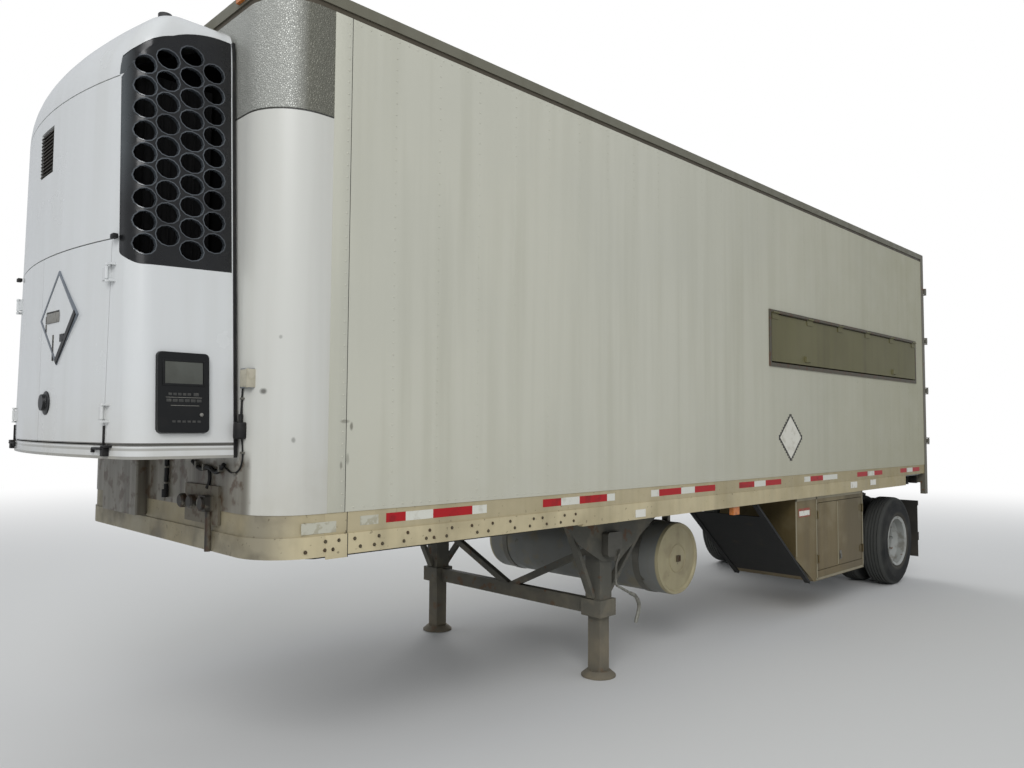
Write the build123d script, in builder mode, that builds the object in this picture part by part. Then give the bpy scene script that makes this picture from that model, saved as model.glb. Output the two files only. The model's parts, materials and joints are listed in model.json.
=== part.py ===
import os
from math import atan2, cos, degrees, hypot, pi, sin

from build123d import *

# Refrigerated van semi trailer with one axle, standing on its landing gear.
# Millimetres. +X is the roadside, +Y runs to the rear, +Z is up, the ground is at Z = 0.
# A station is a distance from the front wall's outer face towards the rear: at(station) gives its Y.

# Body
BODY_LENGTH = 9144
BODY_WIDTH = 2591
BODY_TOP = 4115
WALL = 64
FRONT_WALL = 90
ROOF = 75
CORNER_RADIUS = 270
CORNER_LENGTH = 355
PANEL_INSET = 4

# Rails
RAIL_BOTTOM = 1190
RAIL_LEDGE = 1310
RAIL_TOP = 1420
RAIL_WIDTH = 50
RAIL_STEP = 8
RAIL_PLATE = 3
RAIL_CUT_SETBACK = 754
SIDE_PLATE_END = 2340
SIDE_PLATE_RISE = 15
TOP_RAIL_HEIGHT = 92
TOP_RAIL_STRIP = 30
TOP_RAIL_STEP = 8

# Floor
FLOOR_BOTTOM = 1290
FLOOR_GROOVE_DEPTH = 28
FLOOR_GROOVE_WIDTH = 30
FLOOR_GROOVES = 32
FLOOR_DRAIN = 30

# Rear frame and doors
FRAME_DEPTH = 84
POST_WIDTH = 60
POST_BOTTOM = 1050
HEADER_HEIGHT = 165
DOOR_THICKNESS = 70
DOOR_PROUD = 5
DOOR_GAP = 6
DOOR_CENTRE_GAP = 5
HINGE_HEIGHTS = (1720, 2360, 3000, 3640)
HINGE_OUT = 14
HINGE_BACK = 21
BARREL_RADIUS = 14
PIN_RADIUS = 8
PIN_CLEARANCE = 0.3
STRAP_HEIGHT = 56
STRAP_LENGTH = 250
STRAP_THICKNESS = 8
EAR_HEIGHT = 10
EAR_CLEARANCE = 5
EAR_ROOT = 40

# Lock rods, their keepers on the frame, guides and handles on the doors
LOCK_ROD_RADIUS = 13
LOCK_ROD_PLACES = (330, 930)
LOCK_ROD_OUT = 25
KEEPER_HEIGHT = 44
KEEPER_GAP = 7
KEEPER_CHEEK = 10
KEEPER_REACH = 16
KEEPER_DROP = 60
KEEPER_RISE = 20
GUIDE_HEIGHTS = (1600, 2500, 3300, 3800)
GUIDE_WIDTH = 60
GUIDE_HEIGHT = 50
GUIDE_COVER = 4
HANDLE_HEIGHTS = (1900, 2120)
HANDLE_LENGTH = 210
HANDLE_DEPTH = 12
HANDLE_HEIGHT = 32
HANDLE_FOOT = 30

# Hatch in the left wall
HATCH_START = 4990
HATCH_END = 8800
HATCH_LOW = 2440
HATCH_HIGH = 2970
HATCH_RIM = 35
HATCH_PROUD = 6
HATCH_GAP = 6
HATCH_SWEEP_GAP = 14
HATCH_PIN_OUT = 19
HATCH_PIN_UP = 10
HATCH_BARREL = 9
HATCH_PIN = 5
HATCH_KNUCKLES = 6
HATCH_KNUCKLE_LENGTH = 120
HATCH_LEAF_DROP = 45
HATCH_EAR_DEPTH = 10
LATCH_SETBACK = 762
LATCH_RISE = 25
LATCH_WIDTH = 110
LATCH_HEIGHT = 60
LATCH_DEPTH = 18
LATCH_TAPER = 12

# Cross members and upper coupler
BEAM_FLANGE = 57
BEAM_WEB = 8
BEAM_PITCH = 305
BEAM_FIRST = 2500
COUPLER_START = 60
COUPLER_END = 1900
COUPLER_CORNER = (260, 240)
COUPLER_PLATE = 10
COUPLER_RIB = 12
COUPLER_RIBS = 7
COUPLER_BEAM = 24
COUPLER_BEAM_SPREAD = 488
KINGPIN_STATION = 914
KINGPIN_RADIUS = 25.4
KINGPIN_LENGTH = 84
KINGPIN_FLANGE = 36.5
KINGPIN_FLANGE_LENGTH = 12
KINGPIN_HEAD = 35
KINGPIN_HEAD_LENGTH = 14

# Landing gear
LEG_STATION = 2930
LEG_INSET = 345.5
LEG_TUBE = 140
LEG_INNER = 112
LEG_COLLAR = 186
LEG_COLLAR_LOW = 450
LEG_COLLAR_HIGH = 575
FOOT_RADIUS = 130
FOOT_CROWN = 90
FOOT_EDGE = 12
FOOT_HEIGHT = 45
LEG_BEAM_LOW = 452
LEG_BEAM_HIGH = 562
LEG_BEAM_WIDTH = 60
LEG_PLATE = 10
LEG_BRACE_TOPS = (2560, 3560)
LEG_BRACE_WIDTH = 60
LEG_BRACE_DEPTH = 30
LEG_BRACE_HEAD = 12
LEG_BRACE_FOOT = 16
V_BRACE = 50
V_BRACE_FOOT = 20
V_BRACE_TOP = 920
V_BRACE_INSET = 100
# Station and height of the wing plate's lower corners
WING_CORNERS = ((3160, 900), (3080, 845), (2880, 860), (2610, 1010))
WING_START = 2440
WING_END = 3640

# Gearbox and crank
GEARBOX_STATIONS = (2870, 3040)
GEARBOX_HEIGHTS = (900, 1080)
GEARBOX_DEPTH = 60
GEARBOX_CORNER = 15
CRANK_SHAFT = 16
CRANK_SHAFT_LENGTH = 20
CRANK_RADIUS = 10
CRANK_BEND = 35
# Station and height of the crank's corners, from the gearbox down to its handle
CRANK_CORNERS = ((3000, 930), (2950, 830), (2950, 690), (3190, 575), (3238, 500), (3195, 370))

# Suspension frame
FRAME_RAIL_LOW = 1010
FRAME_RAIL_FLANGE = 110
FRAME_RAIL_PLATE = 12
FRAME_RAIL_WEB = 10
FRAME_RAIL_AHEAD = 1030
FRAME_RAIL_SETBACK = 104
TIE_RISE = 20
TIE_HEIGHT = 70
TIE_WIDTH = 80
TIE_FIRST = 60

# Springs and hangers
SPRING_SPREAD = 480
SPRING_WIDTH = 76
SPRING_LENGTH = 1060
SPRING_CAMBER = 95
SPRING_TOP = 690
SPRING_LEAF = 13
SPRING_LEAVES = 4
SPRING_LEAF_STEP = 130
HANGER_CHEEK = 10
HANGER_HEAD = 260
HANGER_FOOT = 120
HANGER_LOW = 710
HANGER_CORNER = 25
HANGER_PIN = 18
HANGER_PIN_END = 20
U_BOLT = 9
U_BOLT_PLATE = 16
U_BOLT_GAP = 2

# Axle and brakes
AXLE_SETBACK = 814
AXLE_TUBE = 63.5
SPINDLE_RADIUS = 45
SPINDLE_LENGTH = 330
SPIDER_INSET = 250
SPIDER_RADIUS = 150
SPIDER_THICKNESS = 14
SEAT_HALF = 55
BRAKE_ACROSS = 300
BRAKE_LEAD = 300
BRAKE_RISE = 40
CAMSHAFT_LEAD = 110
CAMSHAFT_DROP = 40
CAMSHAFT_RADIUS = 16
SLACK_ARM = 24
# Distance along the brake chamber and its radius there: two dished cans with a clamp ring between them
CHAMBER_PROFILE = ((0, 55), (12, 74), (52, 76), (56, 84), (68, 84), (72, 76), (110, 74), (150, 52))

# Wheels
TYRE_RADIUS = 520
TYRE_WIDTH = 270
DUAL_SPACING = 343
DUAL_INSET = 387.5
RIM_RADIUS = 286
HAND_HOLES = 10
HAND_HOLE_RADIUS = 18
HAND_HOLE_CIRCLE = 212
DRUM_RADIUS = 205

# Mud flaps, dock bumpers and underride guard
FLAP_THICKNESS = 8
FLAP_HALF = 305
FLAP_LOW = 260
FLAP_HIGH = 960
FLAP_BAR = 60
FLAP_BAR_DEPTH = 30
BUMPER_INSET = 115.5
BUMPER_WIDTH = 120
BUMPER_HEIGHT = 150
BUMPER_COVER = 12
GUARD_SETBACK = 134
GUARD_INSET = 105.5
GUARD_LOW = 455
GUARD_HEIGHT = 100
GUARD_DEPTH = 100
GUARD_POST_INSIDE = 430

# Belly box
BELLY_START = 5560
BELLY_END = 7180
BELLY_INSET = 45.5
BELLY_WIDTH = 820
BELLY_LOW = 345
BELLY_WALL = 25
BELLY_CHAMFER_RISE = 260
BELLY_CHAMFER_RUN = 390
BELLY_DOOR_START = 6040
BELLY_DOOR_SPLIT = 6540
BELLY_DOOR_END = 7140
BELLY_DOOR_LOW = 440
BELLY_DOOR_HIGH = 1120
BELLY_DOOR_SEAM = 7
BELLY_PIN_OUT = 12
BELLY_PIN = 4
BELLY_BARREL = 7.5
BELLY_KNUCKLE = 60
BELLY_KNUCKLE_PLACES = (530, 970)
BELLY_LEAF = 5
BELLY_EAR_GAP = 2
BELLY_EAR_ROOT = (2, 20)
BELLY_STRUT = (50, 24)
BELLY_STRUT_INSET = 25
BELLY_STRUT_TOP = 4820
BELLY_STRUT_FOOT = 5858
BELLY_STRUT_HEAD = 10
BELLY_STRUT_RISE = 4
BELLY_GUARD_PLATE = 6
BELLY_GUARD_START = 4980
BELLY_GUARD_END = 5780

# Fuel tank
TANK_STATION = 3925
TANK_HEIGHT = 767
TANK_RADIUS = 300
TANK_INSET = 295.5
TANK_LIP = 14
TANK_LIP_WIDTH = 24
TANK_FITTING = (110, 46)
TANK_STRAP = 60
TANK_STRAP_INSET = 190
TANK_STRAP_THICKNESS = 6
TANK_HANGER_REACH = 60
TANK_HANGER_DEPTH = 40
TANK_HANGER_POST = 150

# Refrigeration unit
UNIT_DEPTH = 640
UNIT_BOTTOM = 1700
UNIT_TOP = 4000
UNIT_HALF_LOW = 1024
UNIT_HALF_TOP = 880
UNIT_REAR_STEP = 55
UNIT_REAR_RUN = 30
UNIT_EDGE_DEPTH = 510
UNIT_CORNER = 110
UNIT_CROWN = 90
UNIT_SHOULDER = 60
UNIT_SIDE_MARGIN = 0.5
UNIT_ROOF_RUN = 150
UNIT_ROOF_DROP = 30
UNIT_ROOF_BEND = (490, 3850)
UNIT_SKIN = 25
UNIT_SKIRT_TOP = 1765
UNIT_SPLIT = 2755
UNIT_CAP_SPLIT = 3560
UNIT_SEAM = 6
UNIT_SEAM_DEPTH = 8
UNIT_DOOR_EDGE = 790
UNIT_HINGE_OUT = 12
UNIT_BARREL = 8
UNIT_PIN = 4
UNIT_KNUCKLE = 60
UNIT_KNUCKLE_PLACES = (1885, 2555)
UNIT_EAR = 10
UNIT_EAR_GAP = 5
UNIT_LEAF = 70
UNIT_EAR_ROOT = 40
UNIT_KNOB = 48
UNIT_KNOB_PLACE = (95, 1975)
UNIT_KNOB_OUT = 18
UNIT_STACK_PLACE = (290, -150)
UNIT_STACK_RADIUS = 38
UNIT_STACK_TOP = 4190
VENT_ACROSS = (-140, 90)
VENT_HEIGHTS = (3215, 3470)
VENT_DEPTH = 14

# Grilles in the unit's sides
GRILLE_FRONT = -540
GRILLE_REAR = -35
GRILLE_LOW = 2615
GRILLE_FOOT_RISE = 20
GRILLE_SHOULDER = 3546
GRILLE_ARCH = (-335, 3790)
GRILLE_CROWN = 3855
GRILLE_FOOT_CORNER = 70
GRILLE_CLEARANCE = 0.9
# Station of each column of holes, half a hole's width seen from the side there, and the number of holes
GRILLE_COLUMNS = ((-460, 49, 9), (-358, 57, 9), (-240, 60, 10), (-127, 56, 9))
GRILLE_ROW_FIRST = 2716
GRILLE_ROW_PITCH = 111
GRILLE_HOLE_RISE = 50
GRILLE_HOLE_SIDES = 12

# Control panel on the unit's roadside
PANEL_STATIONS = (-412, -160)
PANEL_HEIGHTS = (1820, 2210)
PANEL_DEPTH = 22
PANEL_TAPER = 8
PANEL_CORNER = 25

# Engine block inside the unit, and evaporator inside the load space
ENGINE_HALF = 700
ENGINE_STATIONS = (-500, -120)
ENGINE_TOP = 2620
EVAPORATOR_HALF = 800
EVAPORATOR_HEIGHTS = (3250, 3900)
EVAPORATOR_DEPTH = 300
EVAPORATOR_CUT = (120, 170)

# Connections and cabinet on the front wall below the unit
COUPLING_ACROSS = (420, 830)
COUPLING_HEIGHTS = (1345, 1545)
COUPLING_PLATE = 14
GLADHAND_PLACES = (485, 600)
GLADHAND_HEIGHT = 1455
# Distance out from the plate and radius of a gladhand there
GLADHAND_PROFILE = ((0, 20), (26, 20), (30, 38), (52, 38), (60, 30), (60, 16))
SOCKET_PLACE = 735
SOCKET_SIZE = 84
SOCKET_DEPTH = 45
SOCKET_CAP = 34
CONDUIT_RADIUS = 16
CONDUIT_LOW = 1205
CABINET_ACROSS = (-750, -170)
CABINET_HEIGHTS = (1320, 1690)
CABINET_DEPTH = 63
CABINET_CORNER = 12

# Lamps
LAMP_HEIGHT = 35
LAMP_LENGTH = 100
LAMP_DEPTH = 18
SIDE_LAMP_STATION = 4400
SIDE_LAMP_DROP = 70
SIDE_LAMP_INSET = 15
SIDE_LAMP_WIDTH = 40
FRONT_LAMP = 955
REAR_LAMPS = (-1120, -160, 0, 160, 1120)
TAIL_LAMPS = (720, 860)
TAIL_LAMP_RADIUS = 50
TAIL_LAMP_HEIGHT = 1262

# Clearance of pieces that seat on each other
SEAT_GAP = 0.3

# Places worked out from the sizes above
REAR_REACH = DOOR_PROUD + LOCK_ROD_OUT + LOCK_ROD_RADIUS + BUMPER_COVER
NOSE = -(BODY_LENGTH + REAR_REACH - UNIT_DEPTH - UNIT_KNOB_OUT) / 2
HALF = BODY_WIDTH / 2
SKIN = HALF - PANEL_INSET
RAIL_INNER = HALF - RAIL_WIDTH
RAIL_END = BODY_LENGTH - FRAME_DEPTH
RAIL_CUT = BODY_LENGTH - RAIL_CUT_SETBACK
TOP_RAIL_LOW = BODY_TOP - TOP_RAIL_HEIGHT
HEADER_LOW = BODY_TOP - HEADER_HEIGHT
DOORWAY = HALF - POST_WIDTH
DOOR_FACE = BODY_LENGTH + DOOR_PROUD
PIN_X = HALF + HINGE_OUT
PIN_STATION = BODY_LENGTH + HINGE_BACK
LEG_SPREAD = HALF - LEG_INSET
AXLE_STATION = BODY_LENGTH - AXLE_SETBACK
DUAL_CENTRE = HALF - DUAL_INSET
FRAME_RAIL_START = AXLE_STATION - FRAME_RAIL_AHEAD
FRAME_RAIL_END = BODY_LENGTH - FRAME_RAIL_SETBACK
GUARD_STATION = BODY_LENGTH - GUARD_SETBACK
GUARD_HALF = HALF - GUARD_INSET
BELLY_OUTSIDE = HALF - BELLY_INSET
BELLY_INSIDE = BELLY_OUTSIDE - BELLY_WIDTH
TANK_END = HALF - TANK_INSET


def at(station):
    return NOSE + station


def plan(height):
    return Plane.XY.offset(height)


def section(station):
    return Plane.XZ.offset(-at(station))


def profile(across):
    return Plane.YZ.offset(across)


def area(first, second):
    """A rectangle between two corners, for use inside a sketch."""
    middle = ((first[0] + second[0]) / 2, (first[1] + second[1]) / 2)
    with Locations(middle):
        Rectangle(abs(second[0] - first[0]), abs(second[1] - first[1]))


def ground(first, second):
    """A rectangle given by across and station, for a plan sketch."""
    area((first[0], at(first[1])), (second[0], at(second[1])))


def side(first, second):
    """A rectangle given by station and height, for a profile sketch."""
    area((at(first[0]), first[1]), (at(second[0]), second[1]))


def slab(across, stations, heights, mode=Mode.ADD):
    """A plain slab between pairs of limits, joined to the part being built."""
    with BuildSketch(plan(heights[0])) as base:
        ground((across[0], stations[0]), (across[1], stations[1]))
    extrude(base.sketch, amount=heights[1] - heights[0], mode=mode)


def bar(start, end, width, depth):
    """A straight bar between two points, width across its run, joined to the part being built."""
    run = Vector(*end) - Vector(*start)
    across = run.cross(Vector(0, 0, 1))
    if across.length < 1e-6:
        across = Vector(1, 0, 0)
    with BuildSketch(Plane(origin=start, x_dir=across, z_dir=run)) as base:
        Rectangle(width, depth)
    extrude(base.sketch, amount=run.length)


def nose_outline(half, front, back, radius):
    """The body's front end in plan: a rectangle with its two front corners rounded."""
    with BuildSketch() as outline:
        ground((-half, front), (half, back))
        fillet(outline.vertices().group_by(Axis.Y)[0], radius)
    return outline.sketch


def nose_ring(low, high, half, front, thickness, front_thickness, back):
    """A wall of even height round the body's front end, joined to the part being built."""
    radius = CORNER_RADIUS - (SKIN - half)
    with BuildSketch(plan(low)) as base:
        add(nose_outline(half, front, back, radius))
        inner = nose_outline(half - thickness, front + front_thickness, back + 1, radius - thickness)
        add(inner, mode=Mode.SUBTRACT)
    extrude(base.sketch, amount=high - low)


os.makedirs("parts", exist_ok=True)

# Floor: insulated slab whose top is a grooved duct floor, with a drain channel behind the front wall
with BuildPart() as floor:
    with BuildSketch(section(RAIL_WIDTH)):
        area((-RAIL_INNER, FLOOR_BOTTOM), (RAIL_INNER, RAIL_TOP))
        groove_pitch = 2 * (RAIL_INNER - WALL) / FLOOR_GROOVES
        with Locations((0, RAIL_TOP - FLOOR_GROOVE_DEPTH / 2)):
            with GridLocations(groove_pitch, 1, FLOOR_GROOVES, 1):
                Rectangle(FLOOR_GROOVE_WIDTH, FLOOR_GROOVE_DEPTH, mode=Mode.SUBTRACT)
    extrude(amount=RAIL_WIDTH - RAIL_END)
    with BuildSketch(plan(FLOOR_BOTTOM)):
        add(nose_outline(RAIL_INNER, RAIL_WIDTH, RAIL_END, CORNER_RADIUS + PANEL_INSET - RAIL_WIDTH))
    extrude(amount=RAIL_TOP - FLOOR_BOTTOM, mode=Mode.INTERSECT)
    slab((WALL - RAIL_INNER, RAIL_INNER - WALL), (FRONT_WALL, FRONT_WALL + FLOOR_DRAIN),
         (RAIL_TOP - FLOOR_GROOVE_DEPTH, RAIL_TOP), Mode.SUBTRACT)
floor.part.label = "floor"
export_step(floor.part, "parts/floor.step")

# Roof: one slab between the top rails
with BuildPart() as roof:
    with BuildSketch(plan(BODY_TOP - ROOF)):
        add(nose_outline(SKIN - WALL, FRONT_WALL, RAIL_END, CORNER_RADIUS - WALL))
    extrude(amount=ROOF - TOP_RAIL_STEP)
roof.part.label = "roof"
export_step(roof.part, "parts/roof.step")

# Front wall with the two rounded corners
with BuildPart() as front_wall:
    nose_ring(RAIL_TOP, TOP_RAIL_LOW, SKIN, 0, WALL, FRONT_WALL, CORNER_LENGTH)
front_wall.part.label = "front_wall"
export_step(front_wall.part, "parts/front_wall.step")

# Side walls; the left one is cut through for the hatch
hatch_hole_low = (HATCH_START + HATCH_RIM, HATCH_LOW + HATCH_RIM)
hatch_hole_high = (HATCH_END - HATCH_RIM, HATCH_HIGH - HATCH_RIM)
with BuildPart() as left_wall:
    with BuildSketch(profile(SKIN - WALL)):
        side((CORNER_LENGTH, RAIL_TOP), (RAIL_END, TOP_RAIL_LOW))
    extrude(amount=WALL)
    with BuildSketch(profile(SKIN - WALL)):
        side(hatch_hole_low, hatch_hole_high)
    extrude(amount=WALL, mode=Mode.SUBTRACT)
left_wall.part.label = "left_wall"
export_step(left_wall.part, "parts/left_wall.step")

with BuildPart() as right_wall:
    with BuildSketch(profile(-SKIN)):
        side((CORNER_LENGTH, RAIL_TOP), (RAIL_END, TOP_RAIL_LOW))
    extrude(amount=WALL)
right_wall.part.label = "right_wall"
export_step(right_wall.part, "parts/right_wall.step")

# Bottom rails: a side plate in front, then the plain rail, whose lower part ends short of the rear post
for word, hand in (("left", 1), ("right", -1)):
    outer, stepped, inner = hand * HALF, hand * (HALF - RAIL_STEP), hand * RAIL_INNER
    with BuildPart() as bottom_rail:
        with BuildSketch(section(CORNER_LENGTH)):
            area((inner, RAIL_BOTTOM + SIDE_PLATE_RISE), (outer, RAIL_LEDGE))
        extrude(amount=CORNER_LENGTH - SIDE_PLATE_END)
        with BuildSketch(section(SIDE_PLATE_END)):
            area((inner, RAIL_BOTTOM), (outer - hand * RAIL_PLATE, RAIL_LEDGE))
        extrude(amount=SIDE_PLATE_END - RAIL_CUT)
        with BuildSketch(section(CORNER_LENGTH)):
            area((inner, RAIL_LEDGE), (stepped, RAIL_TOP))
        extrude(amount=CORNER_LENGTH - RAIL_END)
    bottom_rail.part.label = f"{word}_bottom_rail"
    export_step(bottom_rail.part, f"parts/{word}_bottom_rail.step")

with BuildPart() as front_bottom_rail:
    stepped_front = RAIL_STEP - PANEL_INSET
    nose_ring(RAIL_BOTTOM + SIDE_PLATE_RISE, RAIL_LEDGE, HALF, -PANEL_INSET, RAIL_WIDTH,
              RAIL_WIDTH + PANEL_INSET, CORNER_LENGTH)
    nose_ring(RAIL_LEDGE, RAIL_TOP, HALF - RAIL_STEP, stepped_front, RAIL_WIDTH - RAIL_STEP,
              RAIL_WIDTH - stepped_front, CORNER_LENGTH)
front_bottom_rail.part.label = "front_bottom_rail"
export_step(front_bottom_rail.part, "parts/front_bottom_rail.step")

# Top rails: a lower strip that stands back and a taller band above it
for word, hand in (("left", 1), ("right", -1)):
    inner = hand * (SKIN - WALL)
    with BuildPart() as top_rail:
        with BuildSketch(section(CORNER_LENGTH)):
            area((inner, TOP_RAIL_LOW), (hand * (HALF - TOP_RAIL_STEP), TOP_RAIL_LOW + TOP_RAIL_STRIP))
            area((inner, TOP_RAIL_LOW + TOP_RAIL_STRIP), (hand * HALF, BODY_TOP))
        extrude(amount=CORNER_LENGTH - RAIL_END)
    top_rail.part.label = f"{word}_top_rail"
    export_step(top_rail.part, f"parts/{word}_top_rail.step")

with BuildPart() as front_top_rail:
    strip_top = TOP_RAIL_LOW + TOP_RAIL_STRIP
    strip_front = TOP_RAIL_STEP - PANEL_INSET
    nose_ring(TOP_RAIL_LOW, strip_top, HALF - TOP_RAIL_STEP, strip_front,
              WALL + PANEL_INSET - TOP_RAIL_STEP, FRONT_WALL - strip_front, CORNER_LENGTH)
    nose_ring(strip_top, BODY_TOP, HALF, -PANEL_INSET, WALL + PANEL_INSET,
              FRONT_WALL + PANEL_INSET, CORNER_LENGTH)
front_top_rail.part.label = "front_top_rail"
export_step(front_top_rail.part, "parts/front_top_rail.step")

# Rear frame: posts, header and sill, with the hinge ears, pins and lock rod keepers on it
ear_reach = STRAP_HEIGHT / 2 + EAR_CLEARANCE
keeper_low = RAIL_TOP - KEEPER_DROP
keeper_high = HEADER_LOW + KEEPER_RISE
with BuildPart() as rear_frame:
    with BuildSketch(section(RAIL_END)):
        area((-HALF, POST_BOTTOM), (HALF, BODY_TOP))
        with Locations((0, (POST_BOTTOM + RAIL_BOTTOM) / 2)):
            Rectangle(2 * DOORWAY, RAIL_BOTTOM - POST_BOTTOM, mode=Mode.SUBTRACT)
        with Locations((0, (RAIL_TOP + HEADER_LOW) / 2)):
            Rectangle(2 * DOORWAY, HEADER_LOW - RAIL_TOP, mode=Mode.SUBTRACT)
    extrude(amount=-FRAME_DEPTH)
    for hand in (1, -1):
        for height in HINGE_HEIGHTS:
            for low in (height - ear_reach - EAR_HEIGHT, height + ear_reach):
                with BuildSketch(plan(low)):
                    ground((hand * (HALF - EAR_ROOT), BODY_LENGTH),
                           (hand * PIN_X, PIN_STATION + BARREL_RADIUS))
                    with Locations((hand * PIN_X, at(PIN_STATION))):
                        Circle(BARREL_RADIUS)
                extrude(amount=EAR_HEIGHT)
            with BuildSketch(plan(height - ear_reach)):
                with Locations((hand * PIN_X, at(PIN_STATION))):
                    Circle(PIN_RADIUS)
            extrude(amount=2 * ear_reach)
        for place in LOCK_ROD_PLACES:
            for low in (keeper_low, keeper_high):
                for way in (-1, 1):
                    near = hand * place + way * (LOCK_ROD_RADIUS + KEEPER_GAP)
                    slab((near, near + way * KEEPER_CHEEK),
                         (BODY_LENGTH, BODY_LENGTH + LOCK_ROD_OUT + KEEPER_REACH), (low, low + KEEPER_HEIGHT))
rear_frame.part.label = "rear_frame"
export_step(rear_frame.part, "parts/rear_frame.step")

# Rear doors, each with straps round its hinge pins, two lock rods and two handles
rod_station = DOOR_FACE + LOCK_ROD_OUT
handle_stations = (rod_station - HANDLE_DEPTH / 2, rod_station + HANDLE_DEPTH / 2)
for word, hand in (("left", 1), ("right", -1)):
    with BuildPart() as door:
        with BuildSketch(plan(RAIL_TOP + DOOR_GAP)):
            ground((hand * DOOR_CENTRE_GAP, DOOR_FACE - DOOR_THICKNESS),
                   (hand * (DOORWAY - DOOR_GAP), DOOR_FACE))
        extrude(amount=HEADER_LOW - RAIL_TOP - 2 * DOOR_GAP)
    door.part.label = f"{word}_rear_door"
    export_step(door.part, f"parts/{word}_rear_door.step")

    with BuildPart() as gear:
        for height in HINGE_HEIGHTS:
            with BuildSketch(plan(height - STRAP_HEIGHT / 2)):
                ground((hand * (PIN_X - STRAP_LENGTH), DOOR_FACE),
                       (hand * PIN_X, DOOR_FACE + STRAP_THICKNESS))
                with Locations((hand * PIN_X, at(PIN_STATION))):
                    Circle(BARREL_RADIUS)
                    Circle(PIN_RADIUS + PIN_CLEARANCE, mode=Mode.SUBTRACT)
            extrude(amount=STRAP_HEIGHT)
        for place in LOCK_ROD_PLACES:
            with BuildSketch(plan(keeper_low)):
                with Locations((hand * place, at(rod_station))):
                    Circle(LOCK_ROD_RADIUS)
            extrude(amount=keeper_high + KEEPER_HEIGHT - keeper_low)
            for height in GUIDE_HEIGHTS:
                slab((hand * place - GUIDE_WIDTH / 2, hand * place + GUIDE_WIDTH / 2),
                     (DOOR_FACE, rod_station + GUIDE_COVER), (height, height + GUIDE_HEIGHT))
        for place, height in zip(LOCK_ROD_PLACES, HANDLE_HEIGHTS):
            heights = (height, height + HANDLE_HEIGHT)
            foot_start = place + HANDLE_LENGTH - 2 * HANDLE_FOOT
            slab((hand * place, hand * (place + HANDLE_LENGTH)), handle_stations, heights)
            slab((hand * foot_start, hand * (foot_start + HANDLE_FOOT)), (DOOR_FACE, rod_station), heights)
    gear.part.label = f"{word}_door_gear"
    export_step(gear.part, f"parts/{word}_door_gear.step")

# Hatch frame: a flat rim on the wall, with the hinge pin carried by its knuckles
hatch_face = HALF + HATCH_PROUD
hatch_pin_height = HATCH_HIGH - HATCH_RIM + HATCH_PIN_UP
hatch_pin_x = HALF + HATCH_PIN_OUT
hatch_start = HATCH_START + HATCH_RIM + HATCH_GAP
hatch_end = HATCH_END - HATCH_RIM - HATCH_GAP
knuckle_pitch = (hatch_end - HATCH_KNUCKLE_LENGTH - hatch_start) / (HATCH_KNUCKLES - 1)
with BuildPart() as hatch_frame:
    with BuildSketch(profile(SKIN)):
        side((HATCH_START, HATCH_LOW), (HATCH_END, HATCH_HIGH))
    extrude(amount=hatch_face - SKIN)
    with BuildSketch(profile(SKIN)):
        side(hatch_hole_low, hatch_hole_high)
    extrude(amount=hatch_face - SKIN, mode=Mode.SUBTRACT)
    with BuildSketch(section(HATCH_START + HATCH_RIM)):
        with Locations((hatch_pin_x, hatch_pin_height)):
            Circle(HATCH_PIN)
    extrude(amount=HATCH_START - HATCH_END + 2 * HATCH_RIM)
    for number in range(HATCH_KNUCKLES - 1):
        ear_start = hatch_start + number * knuckle_pitch + HATCH_KNUCKLE_LENGTH + EAR_CLEARANCE
        with BuildSketch(section(ear_start)):
            area((HALF, hatch_pin_height), (HALF + HATCH_EAR_DEPTH, HATCH_HIGH))
            area((hatch_face, hatch_pin_height), (hatch_pin_x, hatch_pin_height + HATCH_BARREL))
            with Locations((hatch_pin_x, hatch_pin_height)):
                Circle(HATCH_BARREL)
        extrude(amount=HATCH_KNUCKLE_LENGTH + 2 * EAR_CLEARANCE - knuckle_pitch)
hatch_frame.part.label = "hatch_frame"
export_step(hatch_frame.part, "parts/hatch_frame.step")

# Hatch: a plug as thick as the wall, its knuckles round the pin and two latches near its lower edge
hatch_top = HATCH_HIGH - HATCH_RIM - HATCH_GAP
hatch_bottom = HATCH_LOW + HATCH_RIM + HATCH_SWEEP_GAP
with BuildPart() as hatch:
    with BuildSketch(profile(SKIN - WALL)):
        side((hatch_start, hatch_bottom), (hatch_end, hatch_top))
    extrude(amount=hatch_face - (SKIN - WALL))
    for number in range(HATCH_KNUCKLES):
        with BuildSketch(section(hatch_start + number * knuckle_pitch)):
            area((hatch_face, hatch_top - HATCH_LEAF_DROP), (hatch_face + HATCH_PROUD, hatch_pin_height))
            with Locations((hatch_pin_x, hatch_pin_height)):
                Circle(HATCH_BARREL)
                Circle(HATCH_PIN + PIN_CLEARANCE, mode=Mode.SUBTRACT)
        extrude(amount=-HATCH_KNUCKLE_LENGTH)
    for middle in (HATCH_START + LATCH_SETBACK, HATCH_END - LATCH_SETBACK):
        with BuildSketch(profile(hatch_face)):
            side((middle - LATCH_WIDTH / 2, hatch_bottom + LATCH_RISE),
                 (middle + LATCH_WIDTH / 2, hatch_bottom + LATCH_RISE + LATCH_HEIGHT))
        extrude(amount=LATCH_DEPTH, taper=LATCH_TAPER)
hatch.part.label = "hatch"
export_step(hatch.part, "parts/hatch.step")

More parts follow.
